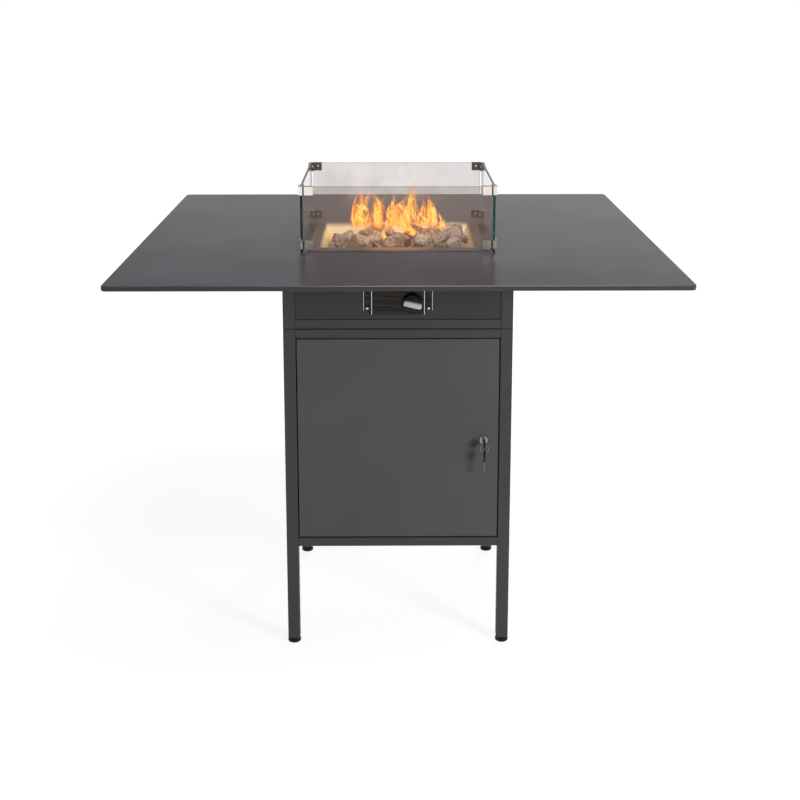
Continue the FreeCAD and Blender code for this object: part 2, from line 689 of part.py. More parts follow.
def make_grate():
    """Slotted plate over the burner that carries the rocks, with legs to the pan floor."""
    shrink = (RIM - GRATE_LEVEL) * PAN_SLOPE + GRATE_WALL_GAP
    w = PAN_MOUTH_WIDTH / 2 - shrink
    d = PAN_MOUTH_DEPTH / 2 - shrink
    t = GRATE_SHEET
    plate = block(-w, w, BURNER_Y - d, BURNER_Y + d, GRATE_LEVEL, GRATE_LEVEL + t)
    count = int(2 * (w - GRATE_BORDER) / GRATE_SLOT_PITCH) + 1
    reach = d - GRATE_BORDER
    slots = []
    for i in range(count):
        x = (i - (count - 1) / 2) * GRATE_SLOT_PITCH
        slots.append(block(x - GRATE_SLOT_WIDTH / 2, x + GRATE_SLOT_WIDTH / 2,
                           BURNER_Y - reach, BURNER_Y + reach, GRATE_LEVEL - t, GRATE_LEVEL + 2 * t))
    plate = plate.cut(slots)
    legs = []
    floor_half = PAN_MOUTH_WIDTH / 2 - PAN_DEPTH * PAN_SLOPE
    for sx in (-1, 1):
        for sy in (-1, 1):
            x = sx * (floor_half - GRATE_LEG_INSET)
            y = BURNER_Y + sy * (d - GRATE_LEG_FROM_END)
            legs.append(block(x - t / 2, x + t / 2, y - GRATE_LEG_WIDTH / 2, y + GRATE_LEG_WIDTH / 2,
                              PAN_FLOOR, GRATE_LEVEL))
    parts["rock_grate"] = plate.fuse(legs).removeSplitter()


def clip_faces(faces, normal, offset):
    """Cuts a convex solid, held as face polygons, by a plane and caps the cut."""
    kept = []
    rim = []
    for face in faces:
        out = []
        for i, a in enumerate(face):
            b = face[(i + 1) % len(face)]
            da = normal.dot(a) - offset
            db = normal.dot(b) - offset
            if da <= 0:
                out.append(a)
            if (da < 0) != (db < 0) and abs(da - db) > 1e-9:
                cut = a + (b - a) * (da / (da - db))
                out.append(cut)
                rim.append(cut)
        if len(out) > 2:
            kept.append(out)
    unique = []
    for p in rim:
        if all(p.distanceToPoint(q) > 0.05 for q in unique):
            unique.append(p)
    if len(unique) > 2:
        middle = V(0, 0, 0)
        for p in unique:
            middle = middle + p
        middle = middle * (1.0 / len(unique))
        u = (unique[0] - middle).normalize()
        w = normal.cross(u)
        unique.sort(key=lambda p: math.atan2((p - middle).dot(w), (p - middle).dot(u)))
        kept.append(unique)
    return kept


def merged_point(point, known):
    """The known point nearest to this one, so that faces share their corners."""
    for other in known:
        if point.distanceToPoint(other) < ROCK_MERGE:
            return other
    known.append(point)
    return point


def rock_solid(planes, seed, reach):
    """The convex solid round a seed point that lies inside all the planes."""
    x, y, z = seed.x, seed.y, seed.z
    r = reach
    c = [V(x + i * r, y + j * r, z + k * r) for k in (-1, 1) for j in (-1, 1) for i in (-1, 1)]
    faces = [[c[0], c[2], c[3], c[1]], [c[4], c[5], c[7], c[6]], [c[0], c[1], c[5], c[4]],
             [c[2], c[6], c[7], c[3]], [c[0], c[4], c[6], c[2]], [c[1], c[3], c[7], c[5]]]
    for normal, offset in planes:
        faces = clip_faces(faces, normal, offset)
    known = []
    triangles = []
    for face in faces:
        ring = []
        for point in face:
            shared = merged_point(point, known)
            if not ring or (shared is not ring[-1] and shared is not ring[0]):
                ring.append(shared)
        for i in range(1, len(ring) - 1):
            corners = [ring[0], ring[i], ring[i + 1], ring[0]]
            triangles.append(Part.Face(Part.makePolygon(corners)))
    return closed_solid(triangles)


def rock_seeds():
    """Centres of the rocks: a jittered bed on the grate and a heap at the rear right."""
    rng = random.Random(ROCK_SEED)
    shrink = BED_DEPTH_BELOW_RIM * PAN_SLOPE
    half_w = PAN_MOUTH_WIDTH / 2 - shrink
    half_d = PAN_MOUTH_DEPTH / 2 - shrink
    columns = int(2 * half_w / ROCK_PITCH)
    rows = int(2 * half_d / ROCK_PITCH)
    base = GRATE_LEVEL + GRATE_SHEET
    seeds = []
    for row in range(rows):
        shift = BED_STAGGER if row % 2 else -BED_STAGGER
        for column in range(columns):
            x = ((column + 0.5 + shift) / columns * 2 - 1) * half_w
            y = ((row + 0.5) / rows * 2 - 1) * half_d
            x += rng.uniform(-BED_JITTER, BED_JITTER)
            y += rng.uniform(-BED_JITTER, BED_JITTER)
            z = base + rng.uniform(BED_LIFT_LEAST, BED_LIFT_MOST)
            seeds.append((V(x, BURNER_Y + y, z), ROCK_RADIUS * rng.uniform(*BED_SIZES)))
    for along, across, rise in HEAP:
        x = along * PAN_MOUTH_WIDTH / 2
        y = BURNER_Y + across * PAN_MOUTH_DEPTH / 2
        z = base + HEAP_LIFT + rise * ROCK_RADIUS
        seeds.append((V(x, y, z), ROCK_RADIUS * rng.uniform(*HEAP_SIZES)))
    return seeds


def make_rocks():
    """Broken lava rocks that rest on the grate and on each other."""
    rng = random.Random(ROCK_SEED + 1)
    seeds = rock_seeds()
    base = GRATE_LEVEL + GRATE_SHEET
    slant = math.sqrt(1 + PAN_SLOPE ** 2)
    rocks = []
    for i, (seed, radius) in enumerate(seeds):
        planes = [(V(0, 0, -1), -(base + ROCK_REST_GAP))]
        for sx, sy in ((1, 0), (-1, 0), (0, 1), (0, -1)):
            normal = V(sx / slant, sy / slant, -PAN_SLOPE / slant)
            half = PAN_MOUTH_WIDTH / 2 if sx else PAN_MOUTH_DEPTH / 2
            point = V(sx * half, BURNER_Y + sy * half, RIM)
            planes.append((normal, normal.dot(point) - ROCK_GAP))
        for j, (other, _) in enumerate(seeds):
            gap = other - seed
            if i != j and gap.Length < ROCK_NEAR * ROCK_RADIUS:
                normal = V(gap.x, gap.y, gap.z).normalize()
                planes.append((normal, normal.dot((seed + other) * 0.5) - ROCK_GAP / 2))
        turn = rng.uniform(0, 6.28)
        for k in range(ROCK_FACETS):
            z = 1 - 2 * (k + 0.5) / ROCK_FACETS
            ring = math.sqrt(1 - z * z)
            angle = turn + k * ROCK_TURN
            normal = V(ring * math.cos(angle), ring * math.sin(angle), z)
            planes.append((normal, normal.dot(seed) + radius * rng.uniform(ROCK_FACE_FROM, 1.0)))
        rocks.append(rock_solid(planes, seed, ROCK_REACH * ROCK_RADIUS))
    parts["lava_rocks"] = rocks


def make_control_plate():
    """Brushed hat-section plate: raised face, two side walls and two screw ears."""
    z0 = CONTROL_BASE
    z1 = z0 + CONTROL_HEIGHT
    half = CONTROL_WIDTH / 2
    t = CONTROL_SHEET
    face = block(-half, half, CONTROL_FACE, CONTROL_FACE + t, z0, z1)
    pieces = [face]
    for side in (-1, 1):
        x0, x1 = sorted((side * half, side * (half - t)))
        pieces.append(block(x0, x1, CONTROL_FACE, UPPER_PANEL_FRONT, z0, z1))
        e0, e1 = sorted((side * (half - t), side * (half + CONTROL_EAR)))
        ear = block(e0, e1, UPPER_PANEL_FRONT - t, UPPER_PANEL_FRONT,
                    z0 + CONTROL_EAR_LIFT, z1 - CONTROL_EAR_LIFT)
        pieces.append(ear)
    plate = pieces[0].fuse(pieces[1:]).removeSplitter()
    bends = []
    for e in plate.Edges:
        b = e.BoundBox
        upright = b.XLength < 0.01 and b.YLength < 0.01 and b.ZLength > CONTROL_HEIGHT - 1
        if upright and abs(b.YMin - CONTROL_FACE) < 0.01:
            bends.append(e)
    plate = plate.makeFillet(t, bends)
    start = CONTROL_FACE - t
    holes = ((KNOB_X, KNOB_Z, KNOB_HOLE_RADIUS), (BUTTON_X, BUTTON_Z, BUTTON_RADIUS + BARREL_WALL))
    for x, z, radius in holes:
        plate = plate.cut(facet_rod(x, start, z, radius, 3 * t, V(0, 1, 0), ROUND_SIDES))
    screws = []
    for side in (-1, 1):
        inset = CONTROL_EAR_LIFT + CONTROL_SCREW_INSET
        for z in (z0 + inset, z1 - inset):
            x = side * (half + CONTROL_EAR / 2)
            y = UPPER_PANEL_FRONT - t
            screws.append(screw_head(x, y, z, CONTROL_SCREW_RADIUS, CONTROL_SCREW_HEIGHT, V(0, -1, 0)))
    parts["control_plate"] = plate
    parts["control_screws"] = screws


def screw_head(x, y, z, radius, height, outward):
    """A domed screw head seated at x, y, z."""
    return turned(x, y, z, ((0, radius), (height, radius * SCREW_CROWN)), outward, 8)


def make_knob():
    """Round knob with a raised grip bar, its spindle and the push collar."""
    front = KNOB_BACK - KNOB_DEPTH
    steps = ((0, KNOB_RADIUS), (KNOB_DEPTH - KNOB_BEVEL, KNOB_RADIUS), (KNOB_DEPTH, KNOB_RADIUS - KNOB_BEVEL))
    disc = turned(KNOB_X, KNOB_BACK, KNOB_Z, steps, V(0, -1, 0), 2 * ROUND_SIDES)
    socket_depth = KNOB_DEPTH - KNOB_FACE_WALL
    disc = disc.cut(facet_rod(KNOB_X, KNOB_BACK, KNOB_Z, SPINDLE_RADIUS, socket_depth, V(0, -1, 0)))
    parts["control_knob"] = disc
    grip = block(-KNOB_GRIP_LENGTH / 2, KNOB_GRIP_LENGTH / 2, -KNOB_GRIP_DEPTH, 0,
                 -KNOB_GRIP_WIDTH / 2, KNOB_GRIP_WIDTH / 2)
    outer = [e for e in grip.Edges if e.BoundBox.YLength > 1 or e.BoundBox.YMax < -1]
    grip = grip.makeChamfer(KNOB_GRIP_BEVEL, outer)
    grip.rotate(V(0, 0, 0), V(0, 1, 0), KNOB_GRIP_TILT)
    grip.translate(V(KNOB_X, front, KNOB_Z))
    parts["knob_grip"] = grip
    tail = UPPER_PANEL_FRONT + SHEET + SPINDLE_TAIL
    start = KNOB_BACK - socket_depth
    spindle = facet_rod(KNOB_X, start, KNOB_Z, SPINDLE_RADIUS, tail - start, V(0, 1, 0))
    parts["valve_spindle"] = spindle
    collar = facet_rod(KNOB_X, tail + SPINDLE_TAIL_GAP, KNOB_Z, COLLAR_RADIUS, COLLAR_LENGTH, V(0, 1, 0))
    parts["spindle_collar"] = collar


def make_igniter():
    """Spark button, its bezel and the piezo barrel behind the panel."""
    face = CONTROL_FACE
    wall = BUTTON_RADIUS + BARREL_WALL
    rim = BUTTON_RADIUS + BEZEL_WIDTH
    steps = ((0, rim), (BEZEL_DEPTH - BEZEL_BEVEL, rim), (BEZEL_DEPTH, rim - BEZEL_BEVEL))
    bezel = turned(BUTTON_X, face, BUTTON_Z, steps, V(0, -1, 0), ROUND_SIDES)
    barrel_end = UPPER_PANEL_FRONT + SHEET + BARREL_LENGTH
    barrel = facet_rod(BUTTON_X, face, BUTTON_Z, wall, barrel_end - face, V(0, 1, 0), ROUND_SIDES)
    depth = BUTTON_TRAVEL + BUTTON_GUIDE
    front = face - BEZEL_DEPTH
    well = facet_rod(BUTTON_X, front, BUTTON_Z, BUTTON_RADIUS + BUTTON_CLEARANCE, depth + BEZEL_DEPTH,
                     V(0, 1, 0), ROUND_SIDES)
    parts["igniter_barrel"] = bezel.fuse(barrel).removeSplitter().cut(well)
    nut = hexagon(BUTTON_X, UPPER_PANEL_FRONT + SHEET, BUTTON_Z, IGNITER_NUT_ACROSS, IGNITER_NUT_DEPTH)
    parts["igniter_nut"] = nut.cut(facet_rod(BUTTON_X, UPPER_PANEL_FRONT, BUTTON_Z, wall,
                                             2 * IGNITER_NUT_DEPTH, V(0, 1, 0), ROUND_SIDES))
    length = BUTTON_PROUD + BEZEL_DEPTH + depth - BUTTON_TRAVEL - BUTTON_END_GAP
    steps = ((0, BUTTON_RADIUS - BUTTON_BEVEL), (BUTTON_BEVEL, BUTTON_RADIUS), (length, BUTTON_RADIUS))
    parts["igniter_button"] = turned(BUTTON_X, front - BUTTON_PROUD, BUTTON_Z, steps, V(0, 1, 0), ROUND_SIDES)


def hexagon(x, y, z, across, depth):
    """A hexagon nut blank whose axis runs along +Y from y."""
    radius = across / math.sqrt(3)
    points = []
    for i in range(7):
        angle = math.radians(60 * i)
        points.append(V(x + radius * math.cos(angle), y, z + radius * math.sin(angle)))
    return Part.Face(Part.makePolygon(points)).extrude(V(0, depth, 0))


def make_gas_train():
    """Tap valve behind the panel, its inlet, the pipe to the burner and the injector."""
    back = UPPER_PANEL_FRONT + SHEET
    x, z = KNOB_X, KNOB_Z
    body = block(x - VALVE_WIDTH / 2, x + VALVE_WIDTH / 2, back, back + VALVE_DEPTH,
                 z - VALVE_HEIGHT / 2, z + VALVE_HEIGHT / 2)
    body = body.makeChamfer(VALVE_BEVEL, [e for e in body.Edges if e.BoundBox.YLength > VALVE_DEPTH - 1])
    stem_bore = facet_rod(x, back, z, SPINDLE_RADIUS + SPINDLE_CLEARANCE, SPINDLE_TAIL, V(0, 1, 0))
    collar_bore = facet_rod(x, back + SPINDLE_TAIL, z, COLLAR_RADIUS + SPINDLE_CLEARANCE,
                            COLLAR_LENGTH + KNOB_TRAVEL + 2 * SPINDLE_TAIL_GAP, V(0, 1, 0))
    parts["gas_valve"] = body.cut([stem_bore, collar_bore])
    nut_base = z - VALVE_HEIGHT / 2 - INLET_NUT
    inlet_base = nut_base - INLET_LENGTH
    inlet = rod(x, hose_y(), inlet_base, INLET_RADIUS, INLET_LENGTH)
    nut = facet_rod(x, hose_y(), nut_base, INLET_NUT_RADIUS, INLET_NUT, sides=6)
    bore = facet_rod(x, hose_y(), inlet_base, INLET_BORE_RADIUS, INLET_LENGTH)
    parts["gas_inlet"] = inlet.fuse(nut).removeSplitter().cut(bore)
    tail = V(x, back + VALVE_DEPTH, z)
    cup_base = PAN_FLOOR - BURNER_STUB_LENGTH - 3 * INJECTOR_HALF_HEIGHT
    end = V(INJECTOR_RADIUS * math.cos(math.pi / BORE_SIDES), BURNER_Y, cup_base + INJECTOR_HALF_HEIGHT)
    parts["gas_pipe"] = bent_pipe([tail, V(x, end.y, z), V(x, end.y, end.z), end])
    cup_top = cup_base + 2 * INJECTOR_HALF_HEIGHT
    cup = facet_rod(0, BURNER_Y, cup_base, INJECTOR_RADIUS, cup_top - cup_base, sides=BORE_SIDES)
    cup = cup.cut(facet_rod(0, BURNER_Y, cup_base + INJECTOR_FLOOR, INJECTOR_BORE_RADIUS, cup_top - cup_base))
    shroud = facet_rod(0, BURNER_Y, cup_top, INJECTOR_RADIUS, SHROUD_LENGTH, sides=BORE_SIDES)
    shroud = shroud.cut(facet_rod(0, BURNER_Y, cup_top, BURNER_STUB_RADIUS, SHROUD_LENGTH, sides=BORE_SIDES))
    half = SHROUD_WINDOW_WIDTH / 2
    sill = cup_top + SHROUD_WINDOW_RISE
    window = block(-2 * INJECTOR_RADIUS, 2 * INJECTOR_RADIUS, BURNER_Y - half, BURNER_Y + half,
                   sill, sill + SHROUD_WINDOW_HEIGHT)
    parts["injector"] = cup.fuse(shroud.cut(window)).removeSplitter()


def bent_pipe(points):
    """A pipe along straight runs joined by bends, with flat facets."""
    spine = [points[0]]
    tangents = [(points[1] - points[0]).normalize()]
    for a, b, c in zip(points, points[1:], points[2:]):
        u = (a - b).normalize()
        w = (c - b).normalize()
        half = math.acos(u.dot(w)) / 2
        reach = PIPE_BEND / math.tan(half)
        centre = b + (u + w).normalize() * (PIPE_BEND / math.sin(half))
        first = b + u * reach
        last = b + w * reach
        for i in range(PIPE_BEND_STEPS + 1):
            k = i / PIPE_BEND_STEPS
            arm = (first - centre) * math.cos(k * math.pi / 2) + (last - centre) * math.sin(k * math.pi / 2)
            spine.append(centre + arm)
            tangents.append((w * math.sin(k * math.pi / 2) - u * math.cos(k * math.pi / 2)).normalize())
    spine.append(points[-1])
    tangents.append((points[-1] - points[-2]).normalize())
    rings = []
    side = tangents[0].cross(V(0, 0, 1)).normalize()
    for place, along in zip(spine, tangents):
        side = (side - along * side.dot(along)).normalize()
        up = along.cross(side)
        turns = [2 * math.pi * i / PIPE_SIDES for i in range(PIPE_SIDES)]
        across = side * PIPE_RADIUS
        rise = up * PIPE_RADIUS
        rings.append([place + across * math.cos(t) + rise * math.sin(t) for t in turns])
    return triangle_tube(rings)


def triangle_tube(rings):
    """A closed tube through rings of points whose quads may be twisted."""
    count = len(rings[0])
    faces = []
    for low, high in zip(rings, rings[1:]):
        for i in range(count):
            k = (i + 1) % count
            for corners in ([low[i], low[k], high[k]], [low[i], high[k], high[i]]):
                faces.append(Part.Face(Part.makePolygon(corners + [corners[0]])))
    for ring in (rings[0], rings[-1]):
        faces.append(Part.Face(Part.makePolygon(ring + [ring[0]])))
    return closed_solid(faces)


def make_sensors():
    """Flame sensor and spark electrode on an angle bracket beside the burner."""
    x = -BURNER_WIDTH / 2 - SENSOR_GAP
    y0 = BURNER_Y - SENSOR_HALF_WIDTH
    y1 = BURNER_Y + SENSOR_HALF_WIDTH
    foot = block(x - SENSOR_FOOT, x, y0, y1, PAN_FLOOR, PAN_FLOOR + SHEET)
    wall = block(x - SHEET, x, y0, y1, PAN_FLOOR, PAN_FLOOR + SENSOR_FOOT)
    parts["sensor_bracket"] = foot.fuse(wall).removeSplitter()
    base = PAN_FLOOR + SHEET
    height = GRATE_RISE - SHEET - SENSOR_HEADROOM
    place = x - SHEET - SENSOR_RADIUS
    y = BURNER_Y - SENSOR_SPACING / 2
    parts["flame_sensor"] = facet_rod(place, y, base, SENSOR_RADIUS, height)
    y = BURNER_Y + SENSOR_SPACING / 2
    spark = facet_rod(place, y, base, SENSOR_RADIUS, SPARK_CERAMIC_LENGTH)
    tip_base = base + SPARK_CERAMIC_LENGTH
    tip = facet_rod(place, y, tip_base, SPARK_TIP_RADIUS, height - SPARK_CERAMIC_LENGTH, sides=8)
    parts["spark_electrode"] = spark.fuse(tip)


def make_heat_shield():
    """Reflector sheet hung under the pan by four spacers."""
    shrink = PAN_DEPTH * PAN_SLOPE
    w = PAN_MOUTH_WIDTH / 2 - shrink
    d = PAN_MOUTH_DEPTH / 2 - shrink
    low = PAN_FLOOR - PAN_SHEET - SHIELD_DROP
    sheet = block(-w, w, BURNER_Y - d, BURNER_Y + d, low - SHEET, low)
    start = low - 2 * SHEET
    sheet = sheet.cut(facet_rod(0, BURNER_Y, start, SHIELD_HOLE_RADIUS, 3 * SHEET, sides=BORE_SIDES))
    spacers = []
    for sx in (-1, 1):
        for sy in (-1, 1):
            x = sx * (w - SPACER_INSET)
            y = BURNER_Y + sy * (d - SPACER_INSET)
            spacers.append(facet_rod(x, y, low, SPACER_RADIUS, SHIELD_DROP, sides=8))
    parts["heat_shield"] = sheet.fuse(spacers).removeSplitter()


def make_door():
    """Door tray with its stiffener and the two pivot pins."""
    width = 2 * DOOR_HALF
    height = DOOR_TOP - DOOR_BASE
    door = folded_panel(width, height, DOOR_DEPTH)
    door.translate(V(0, DOOR_FRONT, DOOR_BASE))
    start = DOOR_FRONT - SHEET
    door = door.cut(facet_rod(LOCK_X, start, LOCK_Z, LOCK_BODY_RADIUS, 3 * SHEET, V(0, 1, 0), ROUND_SIDES))
    low_lug = DOOR_BASE + SHEET
    high_lug = DOOR_TOP - SHEET - LUG_HEIGHT
    for z in (low_lug, high_lug):
        lug = block(-DOOR_HALF + SHEET, PIVOT_X + LUG_MARGIN, DOOR_FRONT + SHEET, PIVOT_Y + LUG_MARGIN,
                    z, z + LUG_HEIGHT)
        door = door.fuse(lug)
    for z in (DOOR_BASE, high_lug):
        door = door.cut(rod(PIVOT_X, PIVOT_Y, z, PIVOT_RADIUS, LUG_HEIGHT + SHEET))
    parts["door_panel"] = door.removeSplitter()
    half = STIFFENER_WIDTH / 2
    back = DOOR_BACK - STIFFENER_SETBACK
    z0 = DOOR_BASE + SHEET
    z1 = DOOR_TOP - SHEET
    rib = block(-half, half, DOOR_FRONT + SHEET, back, z0, z1)
    rib = rib.cut(block(-half + SHEET, half - SHEET, DOOR_FRONT + SHEET, back - SHEET, z0, z1))
    parts["door_stiffener"] = rib
    length = LUG_HEIGHT + SHEET + DOOR_GAP + BUSH_LENGTH - 2 * SHEET
    low_pin = rod(PIVOT_X, PIVOT_Y, low_lug + LUG_HEIGHT - length, PIVOT_RADIUS, length)
    high_pin = rod(PIVOT_X, PIVOT_Y, high_lug, PIVOT_RADIUS, length)
    parts["door_pivots"] = [low_pin, high_pin]


def make_bushes():
    """Flanged nylon bushes let into the rails above and below the door."""
    bushes = []
    rise = DOOR_GAP - BUSH_SEAT_GAP
    depth = BUSH_LENGTH + rise
    for z, up in ((SHELF_LEVEL + RAIL_HEIGHT, 1), (MODULE_JOINT - RAIL_HEIGHT, -1)):
        down = V(0, 0, -up)
        sleeve = facet_rod(PIVOT_X, PIVOT_Y, z + up * rise, BUSH_RADIUS, depth, down)
        hole = rod(PIVOT_X, PIVOT_Y, z + up * rise, PIVOT_RADIUS + PIVOT_CLEARANCE, depth, down)
        bushes.append(sleeve.cut(hole))
        seat = facet_rod(PIVOT_X, PIVOT_Y, z + up * rise, BUSH_RADIUS, rise + 2 * TUBE_WALL, down)
        parts["cabinet_rails"] = [r.cut(seat) for r in parts["cabinet_rails"]]
    parts["pivot_bushes"] = bushes


def make_door_stop():
    """Angle strip on the right leg: the door closes on it and the cam hooks behind it."""
    x1 = OPENING_HALF
    z0 = SHELF_LEVEL + RAIL_HEIGHT + STOP_END_GAP
    z1 = MODULE_JOINT - RAIL_HEIGHT - STOP_END_GAP
    strip = block(x1 - STOP_WIDTH, x1, STOP_FRONT, STOP_FRONT + SHEET, z0, z1)
    base = block(x1 - SHEET, x1, STOP_FRONT, FRONT + TUBE, z0, z1)
    gap = block(x1 - SHEET, x1, CAM_FRONT - CAM_BEHIND_STOP / 2, CAM_FRONT + CAM_THICKNESS + CAM_BEHIND_STOP,
                LOCK_Z - CAM_WIDTH, LOCK_Z + CAM_WIDTH)
    parts["door_stop"] = strip.fuse(base.cut(gap)).removeSplitter()


def make_lock():
    """Cam lock: chromed housing, nut, turning plug, cam and its screw."""
    h = LOCK_FLANGE_HEIGHT
    r = LOCK_FLANGE_RADIUS
    flange = turned(LOCK_X, DOOR_FRONT, LOCK_Z, ((0, r), (h - LOCK_BEVEL, r), (h, r - LOCK_BEVEL)),
                    V(0, -1, 0), ROUND_SIDES)
    end = CAM_FRONT - CAM_BEHIND_STOP / 2
    length = end - DOOR_FRONT
    barrel = facet_rod(LOCK_X, DOOR_FRONT, LOCK_Z, LOCK_BODY_RADIUS, length, V(0, 1, 0), ROUND_SIDES)
    bore = rod(LOCK_X, LOCK_FACE, LOCK_Z, LOCK_PLUG_RADIUS + LOCK_PLUG_CLEARANCE, end - LOCK_FACE, V(0, 1, 0))
    parts["lock_housing"] = flange.fuse(barrel).removeSplitter().cut(bore)
    nut = hexagon(LOCK_X, DOOR_FRONT + SHEET, LOCK_Z, LOCK_NUT_ACROSS, LOCK_NUT_DEPTH)
    parts["lock_nut"] = nut.cut(facet_rod(LOCK_X, DOOR_FRONT, LOCK_Z, LOCK_BODY_RADIUS,
                                          2 * LOCK_NUT_DEPTH, V(0, 1, 0), ROUND_SIDES))
    face = LOCK_FACE - LOCK_PLUG_PROUD
    plug = rod(LOCK_X, face, LOCK_Z, LOCK_PLUG_RADIUS, CAM_FRONT - face, V(0, 1, 0))
    slot_half = KEY_THICKNESS / 2
    blade = KEY_BLADE_WIDTH / 2
    keyway = block(LOCK_X - slot_half, LOCK_X + slot_half, face, LOCK_FACE + KEYWAY_DEPTH,
                   LOCK_Z - blade, LOCK_Z + blade)
    parts["lock_plug"] = plug.cut(keyway)
    half = CAM_WIDTH / 2
    outline = block(LOCK_X - half, LOCK_X + half, CAM_FRONT, CAM_FRONT + CAM_THICKNESS,
                    LOCK_Z - CAM_LENGTH, LOCK_Z)
    head = facet_rod(LOCK_X, CAM_FRONT, LOCK_Z, half, CAM_THICKNESS, V(0, 1, 0), BORE_SIDES)
    cam = outline.fuse(head).removeSplitter()
    toe = [e for e in cam.Edges if e.BoundBox.YLength > CAM_THICKNESS / 2
           and e.BoundBox.ZMax < LOCK_Z - CAM_LENGTH + 0.01]
    parts["lock_cam"] = cam.makeChamfer(CAM_TOE, toe)
    parts["cam_screw"] = screw_head(LOCK_X, CAM_FRONT + CAM_THICKNESS, LOCK_Z,
                                    CAM_SCREW_RADIUS, CAM_SCREW_HEIGHT, V(0, 1, 0))


def key_shape():
    """A flat key that hangs in the YZ plane from the hole in its bow, at the origin."""
    bow_centre = KEY_BOW / 2 - KEY_HOLE_FROM_END
    half = KEY_THICKNESS / 2
    edge = KEY_BLADE_WIDTH / 2
    bow = bevelled_bar(KEY_BOW, KEY_BOW, KEY_BOW_BEVEL, -half, half, bow_centre, 0)
    start = bow_centre + KEY_BOW / 2 - half
    end = start + KEY_BLADE_LENGTH
    blade = block(start, end, -edge, edge, -half, half)
    blade = blade.makeChamfer(KEY_TIP_BEVEL, [e for e in blade.Edges if e.BoundBox.ZLength > half
                                              and e.BoundBox.XMin > end - half])
    for i in range(KEY_NOTCHES):
        x = end - (KEY_NOTCHES - i + 0.5) * KEY_NOTCH_PITCH
        depth = half + KEY_NOTCH_STEP * ((i * 2) % 3)
        notch = [V(x - KEY_NOTCH_HALF, edge + half, -2 * half), V(x + KEY_NOTCH_HALF, edge + half, -2 * half),
                 V(x, edge - depth, -2 * half)]
        blade = blade.cut(Part.Face(Part.makePolygon(notch + [notch[0]])).extrude(V(0, 0, 4 * half)))
    key = bow.fuse(blade).removeSplitter()
    radius = KEY_HOLE_RADIUS / math.cos(math.pi / KEY_HOLE_SIDES)
    key = key.cut(facet_rod(0, 0, -half, radius, 2 * half, sides=KEY_HOLE_SIDES))
    key.rotate(V(0, 0, 0), V(0, 1, 0), 90)
    return key


def wire_ring(centre):
    """The split ring, drawn closed, in the XZ plane."""
    rings = []
    for i in range(RING_SIDES):
        turn = 2 * math.pi * (i + 0.5) / RING_SIDES
        out = V(math.cos(turn), 0, math.sin(turn))
        loop = []
        for j in range(RING_WIRE_SIDES):
            a = 2 * math.pi * j / RING_WIRE_SIDES
            loop.append(centre + out * (RING_RADIUS + RING_WIRE_RADIUS * math.cos(a))
                        + V(0, RING_WIRE_RADIUS * math.sin(a), 0))
        rings.append(loop)
    return ring_solid(rings, closed=True)


def make_keys():
    """Key in the lock, split ring in its bow and the spare key that hangs from it."""
    hole_y = LOCK_FACE + KEY_INSERTED - KEY_BLADE_LENGTH - KEY_BOW + KEY_HOLE_FROM_END + KEY_THICKNESS / 2
    spare = key_shape()
    key = spare.copy()
    key.rotate(V(0, 0, 0), V(1, 0, 0), 90)
    key.translate(V(LOCK_X, hole_y, LOCK_Z))
    parts["key"] = key
    drop = KEY_HOLE_RADIUS - RING_WIRE_RADIUS - RING_HANG_GAP
    ring_z = LOCK_Z - drop - RING_RADIUS
    parts["key_ring"] = wire_ring(V(LOCK_X, hole_y, ring_z))
    spare.translate(V(LOCK_X, hole_y, ring_z - RING_RADIUS - drop))
    parts["spare_key"] = spare


def make_guard():
    """Four toughened panes held by eight corner clamps."""
    z0 = TABLE_HEIGHT
    z1 = z0 + GUARD_HEIGHT
    half_w = GUARD_WIDTH / 2
    half_d = GUARD_DEPTH / 2
    gap = GLASS_THICKNESS + GLASS_CORNER_GAP
    t = GLASS_THICKNESS
    front = pane(-half_w + gap, half_w - gap, BURNER_Y - half_d, BURNER_Y - half_d + t, z0, z1)
    rear = pane(-half_w + gap, half_w - gap, BURNER_Y + half_d - t, BURNER_Y + half_d, z0, z1)
    left = pane(-half_w, -half_w + t, BURNER_Y - half_d + gap, BURNER_Y + half_d - gap, z0, z1)
    right = pane(half_w - t, half_w, BURNER_Y - half_d + gap, BURNER_Y + half_d - gap, z0, z1)
    parts["glass_front"] = front
    parts["glass_rear"] = rear
    parts["glass_sides"] = [left, right]
    shells = []
    inners = []
    screws = []
    for low in (CLAMP_LOW, GUARD_HEIGHT - CLAMP_HEIGHT + CLAMP_PROUD):
        shell, inner, pair = clamp()
        for sx, sy in ((-1, -1), (1, -1), (-1, 1), (1, 1)):
            for shape, store in [(shell, shells), (inner, inners)] + [(s, screws) for s in pair]:
                store.append(to_corner(shape, sx, sy, z0 + low))
    parts["clamp_shells"] = shells
    parts["clamp_inner_plates"] = inners
    parts["clamp_screws"] = screws


def pane(x0, x1, y0, y1, z0, z1):
    """A pane with ground edges."""
    glass = block(x0, x1, y0, y1, z0, z1)
    return glass.makeChamfer(GLASS_EDGE, glass.Edges)


def to_corner(shape, sx, sy, z):
    """Mirrors a clamp piece, made for the front left corner, to another corner."""
    piece = shape.copy()
    if sx > 0:
        piece = piece.mirror(V(0, 0, 0), V(1, 0, 0))
    if sy > 0:
        piece = piece.mirror(V(0, 0, 0), V(0, 1, 0))
    piece.translate(V(sx * GUARD_WIDTH / 2, BURNER_Y + sy * GUARD_DEPTH / 2, z))
    return piece


